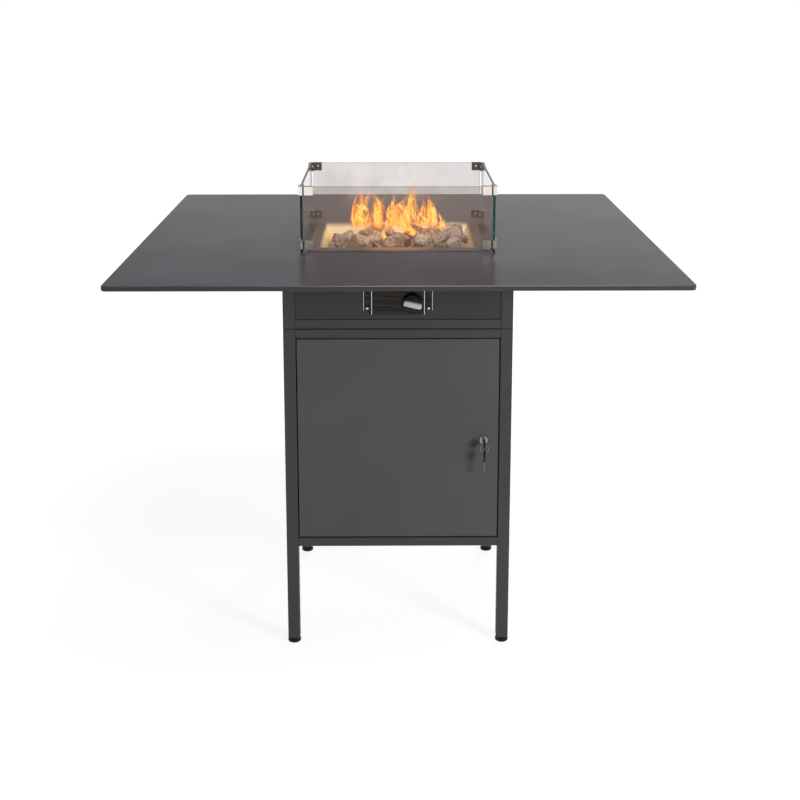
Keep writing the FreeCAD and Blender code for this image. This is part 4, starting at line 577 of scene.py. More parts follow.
def lava_stone(settings):
    """Burnt lava rock: rough brown-grey pumice, paler on its upward faces from dust and a painted
    highlight, with painted shade in its pores.
    """
    material, tree, at = new_material("burnt_lava_rock")
    # Each stone has its own tone, and the bed is browner towards the left and greyer towards the right
    mark = add_node(tree, "ShaderNodeAttribute", attribute_name="stone_tone")
    across = add_node(tree, "ShaderNodeSeparateXYZ", (at["Object"],)).outputs["X"]
    side = add_node(tree, "ShaderNodeMapRange", (across, -0.12, 0.12, -0.2, 0.05))
    pick = add_node(tree, "ShaderNodeMath", (mark.outputs["Fac"], side), operation="ADD", use_clamp=True)
    body = add_node(tree, "ShaderNodeMix", {
        0: pick, 6: tuple(settings.stone_dark), 7: tuple(settings.stone_light)}, data_type="RGBA")
    # Grit of about 3 mm and pores of about 2 mm, drawn 7 and 6 mm across so that they show
    grit = add_node(tree, "ShaderNodeTexNoise", {
        "Vector": at["Object"], "Scale": scale_of(7.143), "Detail": 4.0, "Roughness": 0.7})
    speck = add_node(tree, "ShaderNodeMapRange", (grit, 0.32, 0.68, 0.42, 1.6))
    toned = add_node(tree, "ShaderNodeVectorMath", {0: body, "Scale": speck}, operation="SCALE")
    pores = add_node(tree, "ShaderNodeTexVoronoi", {
        "Vector": at["Object"], "Scale": scale_of(6.25), "Randomness": 1.0})
    # The pores are painted dark, as painted shade
    hole = add_node(tree, "ShaderNodeMapRange", (pores, 0.14, 0.3, 0.9, 0.0))
    pores_with_painted_shade = add_node(tree, "ShaderNodeMix", {0: hole, 6: toned, 7: linear("#3b2c22")}, data_type="RGBA")
    up = add_node(tree, "ShaderNodeSeparateXYZ", (at["Normal"],)).outputs["Z"]
    # Upward faces are lightened where the grit is high, partly dust and partly a painted highlight
    dust_and_highlight_mask = add_node(tree, "ShaderNodeMath", (up, grit), operation="MULTIPLY")
    dust_and_highlight = add_node(tree, "ShaderNodeMapRange", (dust_and_highlight_mask, 0.3, 0.6, 0.0, 0.5))
    tone = add_node(tree, "ShaderNodeMix", {0: dust_and_highlight, 6: pores_with_painted_shade, 7: linear("#c9c0b4")}, data_type="RGBA")
    depth = add_node(tree, "ShaderNodeMath", (grit, hole), operation="SUBTRACT")
    bump = add_node(tree, "ShaderNodeBump", {"Strength": 0.9, "Distance": 0.002, "Height": depth})
    shader = add_node(tree, "ShaderNodeBsdfPrincipled", {
        "Base Color": tone, "Roughness": 0.95, "Specular IOR Level": 0.1, "Normal": bump})
    add_node(tree, "ShaderNodeOutputMaterial", (shader,))
    return material


def toughened_glass(settings):
    """Clear toughened float glass: nearly colourless through its face, with a faint brownish-grey veil
    over it as a painted reflection of a dark room.
    """
    material, tree, at = new_material("toughened_float_glass")
    # Faint wiping marks of about 80 mm, which roughen the face and make the painted reflection uneven
    wipe = add_node(tree, "ShaderNodeTexNoise", {
        "Vector": at["Object"], "Scale": scale_of(83.33), "Detail": 3.0})
    rough = add_node(tree, "ShaderNodeMapRange", (wipe, *NOISE, 0.0, 0.03))
    painted_reflection = add_node(tree, "ShaderNodeMapRange", (
        wipe, *NOISE, settings.glass_reflection_share * 0.8, settings.glass_reflection_share * 1.2))
    shader = add_node(tree, "ShaderNodeBsdfPrincipled", {
        "Base Color": tuple(settings.glass_reflection_colour), "Roughness": rough, "IOR": 1.5, "Alpha": painted_reflection})
    add_node(tree, "ShaderNodeOutputMaterial", (shader,))
    return material


def glass_edge(name, dark, light, cover):
    """The polished edge of float glass: green from the iron in it, brighter where light runs along it."""
    material, tree, at = new_material(name)
    # Bands of about 30 mm along the edge
    band = add_node(tree, "ShaderNodeTexNoise", {
        "Vector": at["Object"], "Scale": scale_of(29.41), "Detail": 3.0})
    share = add_node(tree, "ShaderNodeMapRange", (band, 0.35, 0.65, 0.0, 1.0))
    tone = add_node(tree, "ShaderNodeMix", {0: share, 6: dark, 7: light}, data_type="RGBA")
    # The top edge looks down the pane's height, where less light runs
    up = add_node(tree, "ShaderNodeSeparateXYZ", (at["Normal"],)).outputs["Z"]
    over = add_node(tree, "ShaderNodeMapRange", (up, 0.3, 0.8, 1.0, 0.3))
    tone = add_node(tree, "ShaderNodeVectorMath", {0: tone, "Scale": over}, operation="SCALE")
    shader = add_node(tree, "ShaderNodeBsdfPrincipled", {
        "Base Color": tone, "Roughness": 0.25, "IOR": 1.5, "Specular IOR Level": 0.1, "Alpha": cover})
    add_node(tree, "ShaderNodeOutputMaterial", (shader,))
    return material


# ---- Settings ----


class FireTableFinishes(bpy.types.PropertyGroup):
    """Colours and finishes that a user may change."""

    top_dark: bpy.props.FloatVectorProperty(
        name="Top, dark", description="Darker clouds of the laminate face", subtype="COLOR",
        default=linear("#2b272d"), min=0.0, max=1.0)
    top_light: bpy.props.FloatVectorProperty(
        name="Top, light", description="Lighter clouds of the laminate face", subtype="COLOR",
        default=linear("#3f3b43"), min=0.0, max=1.0)
    top_roughness: bpy.props.FloatProperty(
        name="Top roughness", description="Satin of the laminate face", subtype="FACTOR",
        default=0.26, min=0.1, max=1.0)
    frame_colour: bpy.props.FloatVectorProperty(
        name="Frame", description="Powder coat of the tubes", subtype="COLOR",
        default=linear("#3c3c3d"), min=0.0, max=1.0)
    panel_colour: bpy.props.FloatVectorProperty(
        name="Panels", description="Powder coat of the door and the cabinet's panels", subtype="COLOR",
        default=linear("#4d4d4d"), min=0.0, max=1.0)
    # The darker coat of the upper panels is painted shade under the top's overhang
    upper_shaded_colour: bpy.props.FloatVectorProperty(
        name="Upper panels", description="Powder coat of the burner module's panels", subtype="COLOR",
        default=linear("#303233"), min=0.0, max=1.0)
    coat_roughness: bpy.props.FloatProperty(
        name="Coat roughness", description="Gloss of the powder coat", subtype="FACTOR",
        default=0.5, min=0.1, max=1.0)
    # The control plate's dark colour is a painted reflection of a dark room
    plate_dark_painted_reflection: bpy.props.FloatVectorProperty(
        name="Control plate", description="Dark brushed steel of the control plate", subtype="COLOR",
        default=linear("#2c2927"), min=0.0, max=1.0)
    pan_straw: bpy.props.FloatVectorProperty(
        name="Pan straw", description="Heat tint of the pan's walls", subtype="COLOR",
        default=linear("#ffe6b8"), min=0.0, max=1.0)
    # The glass colour and its share below are a painted reflection of a dark room on the panes
    glass_reflection_colour: bpy.props.FloatVectorProperty(
        name="Glass", description="Colour of the veil on the glass", subtype="COLOR",
        default=linear("#78645a"), min=0.0, max=1.0)
    glass_reflection_share: bpy.props.FloatProperty(
        name="Glass veil", description="How much of the light a pane's face keeps", subtype="FACTOR",
        default=0.22, min=0.0, max=1.0)
    stone_dark: bpy.props.FloatVectorProperty(
        name="Stone, dark", description="Browner stones", subtype="COLOR",
        default=linear("#9d806c"), min=0.0, max=1.0)
    stone_light: bpy.props.FloatVectorProperty(
        name="Stone, light", description="Greyer stones", subtype="COLOR",
        default=linear("#999086"), min=0.0, max=1.0)


class FireTableStones(bpy.types.PropertyGroup):
    """How the lava rocks are worn."""

    rounding: bpy.props.IntProperty(
        name="Rounding", description="How often the blocky stones are divided", default=3, min=1, max=3)
    crease: bpy.props.FloatProperty(
        name="Crease", description="How much of the broken edges is left", subtype="FACTOR",
        default=0.42, min=0.0, max=1.0)
    swell: bpy.props.FloatProperty(
        name="Swell", description="What the rounded stones grow back by", unit="LENGTH",
        default=0.0022, min=0.0)
    lump_depth: bpy.props.FloatProperty(
        name="Lump depth", description="Depth of the hollows between lumps", unit="LENGTH",
        default=0.005, min=0.0)
    pit_depth: bpy.props.FloatProperty(
        name="Pit depth", description="Depth of the burnt pits", unit="LENGTH",
        default=0.0022, min=0.0)
    seed: bpy.props.FloatProperty(name="Seed", description="Start of the pattern", default=3.0)


class FireTableStage(bpy.types.PropertyGroup):
    """Floor, light and flames."""

    key_power: bpy.props.FloatProperty(
        name="Key lamp", description="Power of the lamp at the front right", unit="POWER",
        default=92.0, min=0.0)
    top_power: bpy.props.FloatProperty(
        name="Top lamp", description="Power of the lamp over the table", unit="POWER",
        default=42.0, min=0.0)
    rear_power: bpy.props.FloatProperty(
        name="Rear lamp", description="Power of the lamp behind the table", unit="POWER",
        default=55.0, min=0.0)
    fire_power: bpy.props.FloatProperty(
        name="Fire lamp", description="Light that the flames throw on the pan and the rocks",
        unit="POWER", default=0.42, min=0.0)
    fill_power: bpy.props.FloatProperty(
        name="Fill lamp", description="Power of the large lamp at the left", unit="POWER",
        default=5.0, min=0.0)
    sky: bpy.props.FloatProperty(
        name="Sky", description="Strength of the even light from all round", default=0.22, min=0.0)
    ceiling: bpy.props.FloatProperty(
        name="Ceiling", description="How bright reflections find the room over the backdrop",
        subtype="FACTOR", default=0.06, min=0.0, max=1.0)
    flame_height: bpy.props.FloatProperty(
        name="Flame height", description="Scale of the flames' height", subtype="FACTOR",
        default=1.0, min=0.0, max=1.0)
    flame_glow: bpy.props.FloatProperty(
        name="Flame glow", description="Strength of the flames' light", default=1.7, min=0.0)


# ---- Pieces ----


class FIRETABLE_OT_cabinet(bpy.types.Operator):
    """Powder-coats the two modules and the door, and finishes their fixings."""

    bl_idname = "firetable.cabinet"
    bl_label = "Cabinet"

    def execute(self, context):
        finishes = context.scene.fire_finishes
        tube = powder_coat("powder_coated_tube", tuple(finishes.frame_colour), finishes)
        panel = powder_coat("powder_coated_panel", tuple(finishes.panel_colour), finishes)
        # The burner module's panels get a darker coat, as painted shade under the top's overhang
        upper_shaded = powder_coat("powder_coated_upper_panel_painted_shade", tuple(finishes.upper_shaded_colour), finishes)
        coat(tube, "cabinet_legs", "cabinet_rails", "burner_module_posts", "burner_module_rails",
             "door_stop")
        coat(panel, "cabinet_panel_left", "cabinet_panel_right", "cabinet_panel_rear", "bottle_shelf",
             "door_panel", "door_stiffener")
        coat(upper_shaded, "burner_panel_left", "burner_panel_right", "burner_panel_rear",
             "burner_panel_front", "burner_module_floor")
        coat(plated_metal("zinc_plated_steel", linear("#a3a5a8"), 0.35), "top_brackets", "door_pivots")
        coat(moulded("epdm_gasket", linear("#1b1b1c"), 0.7), "module_gasket", "hose_grommet")
        coat(moulded("black_nylon", linear("#161616"), 0.45), "pivot_bushes")
        return {"FINISHED"}


class FIRETABLE_OT_top(bpy.types.Operator):
    """Gives the slab its laminate face and dark core."""

    bl_idname = "firetable.top"
    bl_label = "Table Top"

    def execute(self, context):
        coat(compact_laminate(context.scene.fire_finishes), "table_top")
        return {"FINISHED"}


class FIRETABLE_OT_burner(bpy.types.Operator):
    """Finishes the pan, the burner, the grate and the gas train."""

    bl_idname = "firetable.burner"
    bl_label = "Burner and Gas Train"

    def execute(self, context):
        coat(heat_tinted_steel(context.scene.fire_finishes), "fire_pan", "burner_box")
        coat(plated_metal("bare_inner_steel", linear("#8a8b8d"), 0.4), "rock_grate", "igniter_nut",
             "sensor_bracket", "flame_sensor", "valve_spindle")
        coat(plated_metal("machined_brass", linear("#b89a5c"), 0.3), "gas_valve", "gas_inlet",
             "injector", "spindle_collar")
        coat(plated_metal("mill_aluminium", linear("#b5b7ba"), 0.38), "gas_pipe", "heat_shield")
        coat(moulded("steatite_ceramic", linear("#d9d4c6"), 0.3), "spark_electrode")
        return {"FINISHED"}


class FIRETABLE_OT_stones(bpy.types.Operator):
    """Weathers the blocky stones of the frame into lava rocks."""

    bl_idname = "firetable.stones"
    bl_label = "Lava Rocks"

    def execute(self, context):
        stones = context.scene.fire_stones
        # Corners that meet within 0.05 mm become one, and nearly flat faces are joined again
        bm = bmesh.new()
        bm.from_mesh(NODES["lava_rocks"].data)
        bmesh.ops.remove_doubles(bm, verts=bm.verts, dist=0.05 * MM)
        bmesh.ops.dissolve_limit(bm, angle_limit=math.radians(4), verts=bm.verts, edges=bm.edges)
        blocks = bpy.data.meshes.new("blocks")
        bm.to_mesh(blocks)
        bm.free()
        made = grown(stone_tree(), blocks, {
            "Rounding": stones.rounding, "Keep Edges": stones.crease, "Swell": stones.swell,
            "Lump Size": LUMP_SIZE * MM, "Lump Depth": stones.lump_depth,
            "Pit Size": PIT_SIZE * MM, "Pit Depth": stones.pit_depth,
            "Seed": stones.seed, "Material": lava_stone(context.scene.fire_finishes)})
        made.name = "lava_rock_bed"
        seat_piece("lava_rock_bed", made, None, "cabinet", ["lava_rocks"])
        return {"FINISHED"}


def pane_mesh(x0, x1, y0, y1):
    """A pane with ground edges: its faces, its edges and a side pane's rear end have a material each."""
    bm = prism([(x0, y0), (x1, y0), (x1, y1), (x0, y1)], GUARD_BASE, GUARD_TOP, GLASS_BEVEL, 1)
    thin = Vector((0, 1, 0)) if x1 - x0 > y1 - y0 else Vector((1, 0, 0))
    for face in bm.faces:
        if abs(face.normal.dot(thin)) > 0.99:
            face.material_index = 0
        else:
            face.material_index = 2 if thin.x and face.normal.y > 0.5 else 1
    return bm


class FIRETABLE_OT_glass(bpy.types.Operator):
    """Makes the four toughened panes with their green edges."""

    bl_idname = "firetable.glass"
    bl_label = "Guard Glass"

    def execute(self, context):
        clear = toughened_glass(context.scene.fire_finishes)
        # Light runs the long way through the side panes, so their edges are the deepest green
        deep = glass_edge("deep_green_glass_edge", linear("#0d2e24"), linear("#1f5444"), 0.95)
        # The other edges are painted a paler green, as a painted highlight
        highlit_edge = glass_edge("glass_edge_painted_highlight", linear("#55635e"), linear("#7c8a85"), 0.55)
        side = GUARD_WIDTH / 2
        end = side - GLASS - CORNER_GAP
        front = BURNER_Y - GUARD_DEPTH / 2
        rear = BURNER_Y + GUARD_DEPTH / 2
        inner = (front + GLASS + CORNER_GAP, rear - GLASS - CORNER_GAP)
        sides = pane_mesh(-side, GLASS - side, *inner)
        right = pane_mesh(side - GLASS, side, *inner)
        shape = bpy.data.meshes.new("right_side")
        right.to_mesh(shape)
        right.free()
        sides.from_mesh(shape)
        for name, bm, edges, node in (
            ("glass_pane_front", pane_mesh(-end, end, front, front + GLASS), (highlit_edge,), "glass_front"),
            ("glass_pane_rear", pane_mesh(-end, end, rear - GLASS, rear), (highlit_edge,), "glass_rear"),
            ("glass_panes_side", sides, (deep, highlit_edge), "glass_sides"),
        ):
            piece = new_piece(name, bm, None, "glass_guard", [node], sharp=20.0)
            for material in (clear, *edges):
                piece.data.materials.append(material)
        return {"FINISHED"}


def clamp_outline():
    """Outline of a corner clamp's shell, seen from above, with the glass corner at the origin."""
    t = CLAMP_SHEET
    end = CLAMP_REACH - t
    block = GLASS + CORNER_GAP
    centre = CLAMP_CORNER - t
    arc = []
    for i in range(13):
        angle = math.radians(270 - 90 * i / 12)
        arc.append((centre + CLAMP_CORNER * math.cos(angle), centre + CLAMP_CORNER * math.sin(angle)))
    near, far = end - CLAMP_PLATE, end - CLAMP_PLATE - GROOVE_WIDTH
    floor = GROOVE_DEPTH - t
    first = [(end, -t), (near, -t), (near, floor), (far, floor), (far, -t)]
    last = [(y, x) for x, y in reversed(first)]
    return first + arc + last + [(0, end), (0, block), (block, block), (block, 0), (end, 0)]


def corner_turns(z_values):
    """Place and turn of each corner of the guard, at each level."""
    half_w = GUARD_WIDTH / 2
    half_d = GUARD_DEPTH / 2
    corners = ((-1, -1, 0.0), (1, -1, 90.0), (1, 1, 180.0), (-1, 1, 270.0))
    return [((sx * half_w, BURNER_Y + sy * half_d, z), (0.0, 0.0, math.radians(turn)))
            for z in z_values for sx, sy, turn in corners]


def screw_mesh(radius, height, socket):
    """A domed screw head with a hexagon socket, seated at the origin, its axis along +Z."""
    rings = [(0.0, 0), (0.0, radius), (height * 0.3, radius), (height * 0.62, radius * 0.93),
             (height * 0.88, radius * 0.76), (height, radius * 0.58), (height, hexagon(socket * 1.1)),
             (height - 0.15, hexagon(socket)), (height * 0.35, hexagon(socket)), (height * 0.3, 0)]
    return turned_mesh(rings, 24)


class FIRETABLE_OT_clamps(bpy.types.Operator):
    """Makes the eight corner clamps of the guard and sets them out."""

    bl_idname = "firetable.clamps"
    bl_label = "Guard Clamps"

    def execute(self, context):
        # Cast stainless, brushed: grain of about 1 mm by 25 mm, drawn 2 mm wide
        grain = (25.0, 25.0, 1.923)
        # The dark brown given last is painted shade for the groove
        steel = brushed_steel("brushed_cast_stainless", linear("#efe7da"), 0.24, grain, 0.06,
                              linear("#4a443d"))
        shell = prism(clamp_outline(), 0.0, CLAMP_HEIGHT, 0.4, 2)
        # Faces within the groove, on either leg of the corner, are marked as a recess, which the finish
        # darkens as painted shade
        mark = shell.faces.layers.float.new("recess")
        edge = CLAMP_REACH - CLAMP_SHEET - CLAMP_PLATE
        slack = 0.1
        for face in shell.faces:
            spot = face.calc_center_median()
            near, deep = (spot.x, spot.y) if spot.x > spot.y else (spot.y, spot.x)
            beside = edge - GROOVE_WIDTH - slack < near < edge + slack
            sunk = 0.15 - CLAMP_SHEET < deep < -0.5
            face[mark] = 1.0 if beside and sunk and abs(face.normal.z) < 0.5 else 0.0
        set_out("clamp_shells_round", shell, corner_turns(CLAMP_LEVELS), steel, "glass_guard",
                ["clamp_shells"], sharp=15.0)
        coat(brushed_steel("dark_inner_clamp_plate", linear("#7d7468"), 0.35, grain),
             "clamp_inner_plates")
        return {"FINISHED"}


class FIRETABLE_OT_screws(bpy.types.Operator):
    """Sets out the socket screws of the guard, the control plate, the top and the cam."""

    bl_idname = "firetable.screws"
    bl_label = "Screws"

    def execute(self, context):
        steel = plated_metal("stainless_socket_screw", linear("#cfcdc8"), 0.2)
        quarter = math.pi / 2
        along = CLAMP_REACH - CLAMP_SHEET - CLAMP_PLATE / 2
        face = GLASS + CLAMP_INNER
        guard = []
        for z in (level + CLAMP_HEIGHT / 2 for level in CLAMP_LEVELS):
            for sx in (-1, 1):
                for sy in (-1, 1):
                    x = sx * GUARD_WIDTH / 2
                    y = BURNER_Y + sy * GUARD_DEPTH / 2
                    guard.append(((x - sx * along, y - sy * face, z), (sy * quarter, 0.0, 0.0)))
                    guard.append(((x - sx * face, y - sy * along, z), (0.0, -sx * quarter, 0.0)))
        plate = [((x, PLATE_FACE_Y, z), (quarter, 0.0, 0.0))
                 for x in (-PLATE_SCREW_X, PLATE_SCREW_X) for z in PLATE_SCREW_LEVELS]
        low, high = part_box("top_screws")
        under = [((x, y, high.z / MM), (math.pi, 0.0, 0.0))
                 for x in (low.x / MM + TOP_SCREW_INSET, high.x / MM - TOP_SCREW_INSET)
                 for y in (low.y / MM + TOP_SCREW_INSET, high.y / MM - TOP_SCREW_INSET)]
        low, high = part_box("cam_screw")
        middle = (low + high) / 2 / MM
        cam = [((middle.x, low.y / MM, middle.z), (-quarter, 0.0, 0.0))]
        for name, head, places, body, node in (
            ("clamp_socket_screws", CLAMP_SCREW, guard, "glass_guard", "clamp_screws"),
            ("control_socket_screws", PLATE_SCREW, plate, "cabinet", "control_screws"),
            ("top_socket_screws", TOP_SCREW, under, "cabinet", "top_screws"),
            ("cam_socket_screw", CAM_SCREW, cam, "lock_core", "cam_screw"),
        ):
            set_out(name, screw_mesh(*head), places, steel, body, [node])
        return {"FINISHED"}


def fluted(radius, depth):
    """A radius that follows the angle round the knob's flutes."""
    return lambda angle: radius - depth * (0.5 + 0.5 * math.cos(KNOB_FLUTES * angle))


class FIRETABLE_OT_controls(bpy.types.Operator):
    """Makes the knob, its grip and the spark button, and finishes the plate."""

    bl_idname = "firetable.controls"
    bl_label = "Control Unit"

    def execute(self, context):
        coat(steel_with_painted_edge_highlights(context.scene.fire_finishes), "control_plate")
        black = moulded("black_phenolic_knob", linear("#0e0e0f"), 0.26)
        r = KNOB_RADIUS
        d = KNOB_DEPTH
        # Each ring is a height over the seat, towards the viewer, and a radius
        rings = [(0.0, 0), (0.0, r - 1.0), (0.5, r - 0.2), (1.5, r), (3.0, r),
                 (3.6, fluted(r - 0.2, 0.9)), (d - 3.2, fluted(r - 0.5, 0.9)), (d - 1.6, r - 1.3),
                 (d - 0.6, r - 2.4), (d - 0.1, r - 3.8), (d, r - 5.0), (d - 0.5, r - 5.8),
                 (d - 0.5, r - 6.6), (d - 0.1, r - 7.2), (d - 0.1, 0)]
        knob = moved(turned_mesh(rings, 4 * KNOB_FLUTES), Matrix.Translation(KNOB_PLACE) @ TO_FRONT)
        new_piece("tap_knob", knob, black, "knob", ["control_knob"])

        # Depth from the knob's face, half length and half width of the bar
        grip = bmesh.new()
        loops = [[grip.verts.new((x, -depth, z)) for x, z in squared_ring(half_l, half_w, 0.35, 0.45, 40)]
                 for depth, half_l, half_w in ((0.0, 23.0, 7.0), (7.2, 22.6, 6.6), (9.4, 22.0, 6.1),
                                               (10.6, 20.8, 5.1), (11.0, 19.4, 3.9))]
        join_loops(grip, loops)
        grip.faces.new(loops[0])
        grip.faces.new(loops[-1])
        bmesh.ops.recalc_face_normals(grip, faces=grip.faces)
        front = Matrix.Translation(KNOB_PLACE + Vector((0, -d, 0)))
        tilt = Matrix.Rotation(math.radians(GRIP_TILT), 4, "Y")
        new_piece("knob_grip_bar", moved(grip, front @ tilt),
                  moulded("grey_grip_moulding", linear("#c4c4c5"), 0.28), "knob",
                  ["knob_grip"])

        black = moulded("black_abs", linear("#141415"), 0.35)
        seat = Matrix.Translation(BUTTON_PLACE) @ TO_FRONT
        # Bezel, wall and end of the barrel, drawn as one ring
        ring = [(3.0, 8.3), (3.0, 10.6), (2.6, 11.6), (1.6, 12.0), (0.0, 12.0), (0.0, 9.5), (-53.5, 9.5),
                (-53.5, 0.001), (-23.0, 0.001), (-20.0, 8.05), (2.7, 8.05)]
        new_piece("spark_barrel", moved(turned_mesh(ring, 48, closed=True), seat), black, "cabinet",
                  ["igniter_barrel"])
        cap = [(-12.5, 0), (-12.5, 7.6), (8.4, 8.0), (9.4, 7.8), (9.9, 7.1), (9.5, 5.6), (9.2, 0)]
        new_piece("spark_button_cap", moved(turned_mesh(cap, 48), seat), black, "spark_button",
                  ["igniter_button"])
        return {"FINISHED"}


class FIRETABLE_OT_lock(bpy.types.Operator):
    """Makes the lock's turned housing and finishes its core."""

    bl_idname = "firetable.lock"
    bl_label = "Cam Lock"

    def execute(self, context):
        chrome = plated_metal("chrome_plated_zinc", linear("#8f9094"), 0.14)
        ring = [(2.0, 5.65), (2.6, 6.2), (2.6, 9.0), (2.3, 9.9), (1.6, 10.4), (0.0, 10.5), (0.0, 8.0),
                (-19.8, 8.0), (-20.1, 7.6), (-20.1, 5.65)]
        housing = moved(turned_mesh(ring, 64, closed=True), Matrix.Translation(LOCK_PLACE) @ TO_FRONT)
        new_piece("lock_housing_turned", housing, chrome, "door", ["lock_housing"])
        coat(chrome, "lock_plug")
        coat(plated_metal("zinc_plated_cam", linear("#9c9da0"), 0.32), "lock_cam", "lock_nut")
        return {"FINISHED"}


def flat_shape(outlines, half, soft):
    """A flat plate, in millimetres, with soft edges: closed outlines, and half its thickness."""
    data = bpy.data.curves.new("flat", "CURVE")
    data.dimensions = "2D"
    data.fill_mode = "BOTH"
    data.extrude = half - soft
    data.bevel_depth = soft
    data.bevel_resolution = 1
    data.offset = -soft
    for points in outlines:
        spline = data.splines.new("POLY")
        spline.points.add(len(points) - 1)
        spline.use_cyclic_u = True
        for point, (x, z) in zip(spline.points, points):
            point.co = (x, z, 0.0, 1.0)
    holder = bpy.data.objects.new("flat", data)
    mesh = bpy.data.meshes.new_from_object(holder)
    bpy.data.objects.remove(holder)
    bpy.data.curves.remove(data)
    # The drawing, made in XY, stands up in the YZ plane
    mesh.transform(Matrix(((0, 0, 1, 0), (1, 0, 0, 0), (0, 1, 0, 0), (0, 0, 0, 1))))
    return mesh


def key_mesh():
    """A key that hangs along -Z from its hole at the origin: a moulded black head over a cut blade."""
    bow = squared_ring(BOW_HALF, BOW_HALF, BOW_SQUARENESS, BOW_SQUARENESS, 48)
    head = [(across, BOW_MIDDLE + up) for up, across in bow]
    ring = squared_ring(KEY_HOLE_RADIUS, KEY_HOLE_RADIUS, 1.0, 1.0, 24)
    hole = [(across, up) for up, across in ring]
    top, bottom = COLLAR_ENDS
    collar = [(COLLAR_HALF, top), (COLLAR_HALF, bottom), (-COLLAR_HALF, bottom), (-COLLAR_HALF, top)]
    # The blade starts inside the head and carries cuts of different depths
    blade = [(BLADE_HALF, BLADE_TOP), (BLADE_HALF, FIRST_CUT + 2.5)]
    for i in range(CUTS):
        z = FIRST_CUT - CUT_PITCH * i
        root = BLADE_HALF - 0.9 - 0.5 * ((i * 2) % 3)
        blade += [(BLADE_HALF, z + 1.7), (root, z + 0.4), (root, z - 0.4), (BLADE_HALF, z - 1.7)]
    tip = BLADE_HALF - BLADE_POINT
    blade += [(BLADE_HALF, BLADE_END + BLADE_POINT), (tip, BLADE_END), (-tip, BLADE_END),
              (-BLADE_HALF, BLADE_END + BLADE_POINT), (-BLADE_HALF, BLADE_TOP)]
    bm = bmesh.new()
    # The head and its collar are black, and the blade is bare metal
    for index, outlines, half, soft in ((0, [head, hole], 2.0, 0.6), (0, [collar], 1.7, 0.5),
                                        (1, [blade], 1.0, 0.2)):
        first = len(bm.faces)
        bm.from_mesh(flat_shape(outlines, half, soft))
        bm.faces.ensure_lookup_table()
        for face in bm.faces[first:]:
            face.material_index = index
    bmesh.ops.remove_doubles(bm, verts=bm.verts, dist=0.001)
    bmesh.ops.recalc_face_normals(bm, faces=bm.faces)
    return bm


class FIRETABLE_OT_keys(bpy.types.Operator):
    """Makes the key in the lock, the split ring and the spare key on it."""

    bl_idname = "firetable.keys"
    bl_label = "Keys"

    def execute(self, context):
        black = moulded("black_key_head", linear("#0e0e0f"), 0.4)
        nickel = plated_metal("nickel_plated_brass_key", linear("#72706b"), 0.25)
        hole = Vector((LOCK_PLACE.x, KEY_HOLE_Y, LOCK_PLACE.z))
        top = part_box("spare_key")[1].z / MM
        hanging = Vector((hole.x, hole.y, top - KEY_HOLE_FROM_TOP))
        for name, place, body, node in (
            ("lock_key", Matrix.Translation(hole) @ TO_FRONT, "lock_core", "key"),
            ("hanging_spare_key", Matrix.Translation(hanging), "hanging_key", "spare_key"),
        ):
            piece = new_piece(name, moved(key_mesh(), place), None, body, [node], sharp=30.0)
            piece.data.materials.append(black)
            piece.data.materials.append(nickel)
        # Two turns of round wire side by side
        rings = bmesh.new()
        steps, around = 72, 8
        for side in (-RING_WIRE, RING_WIRE):
            loops = []
            for i in range(steps):
                turn = 2 * math.pi * i / steps
                out = Vector((math.cos(turn), 0, math.sin(turn)))
                loop = []
                for j in range(around):
                    a = 2 * math.pi * j / around
                    spot = RING_CENTRE + out * (RING_RADIUS + RING_WIRE * math.cos(a))
                    loop.append(rings.verts.new(spot + Vector((0, side + RING_WIRE * math.sin(a), 0))))
                loops.append(loop)
            join_loops(rings, loops, closed=True)
        bmesh.ops.recalc_face_normals(rings, faces=rings.faces)
        new_piece("split_ring_wire", rings, plated_metal("sprung_steel_ring", linear("#b0b0b2"), 0.1),
                  "split_ring", ["key_ring"], sharp=60.0)
        return {"FINISHED"}


class FIRETABLE_OT_glides(bpy.types.Operator):
    """Turns the four glides and sets them out under the legs."""

    bl_idname = "firetable.glides"
    bl_label = "Leg Glides"

    def execute(self, context):
        foot = [(0.0, 0), (0.0, 13.2), (0.5, 14.6), (1.4, 15.8), (2.8, 16.6), (4.4, 16.8), (7.0, 16.5),
                (9.6, 15.6), (12.4, 14.6), (14.0, 14.2)]
        # The shank grips the tube's wall by its ribs
        shank = [(14.0, 12.9), (16.0, 13.1), (18.0, 12.4), (20.0, 13.1), (22.0, 12.4), (24.0, 13.1),
                 (26.0, 12.4), (28.0, 13.1), (31.0, 12.2), (31.0, 0)]
        places = [((x, y, 0.0), (0.0, 0.0, 0.0)) for x, y in LEG_PLACES]
        set_out("leg_glides_turned", turned_mesh(foot + shank, 48), places,
                moulded("black_polyethylene", linear("#0b0b0b"), 0.5), "cabinet",
                ["leg_glides"])
        return {"FINISHED"}


# ---- Stage ----


def white_where_seen(tree):
    """1 for camera, glossy and transmission rays, which see the plain white background."""
    path = add_node(tree, "ShaderNodeLightPath").outputs
    first = add_node(tree, "ShaderNodeMath", (path["Is Camera Ray"], path["Is Glossy Ray"]),
                     operation="MAXIMUM")
    return add_node(tree, "ShaderNodeMath", (first, path["Is Transmission Ray"]), operation="MAXIMUM")


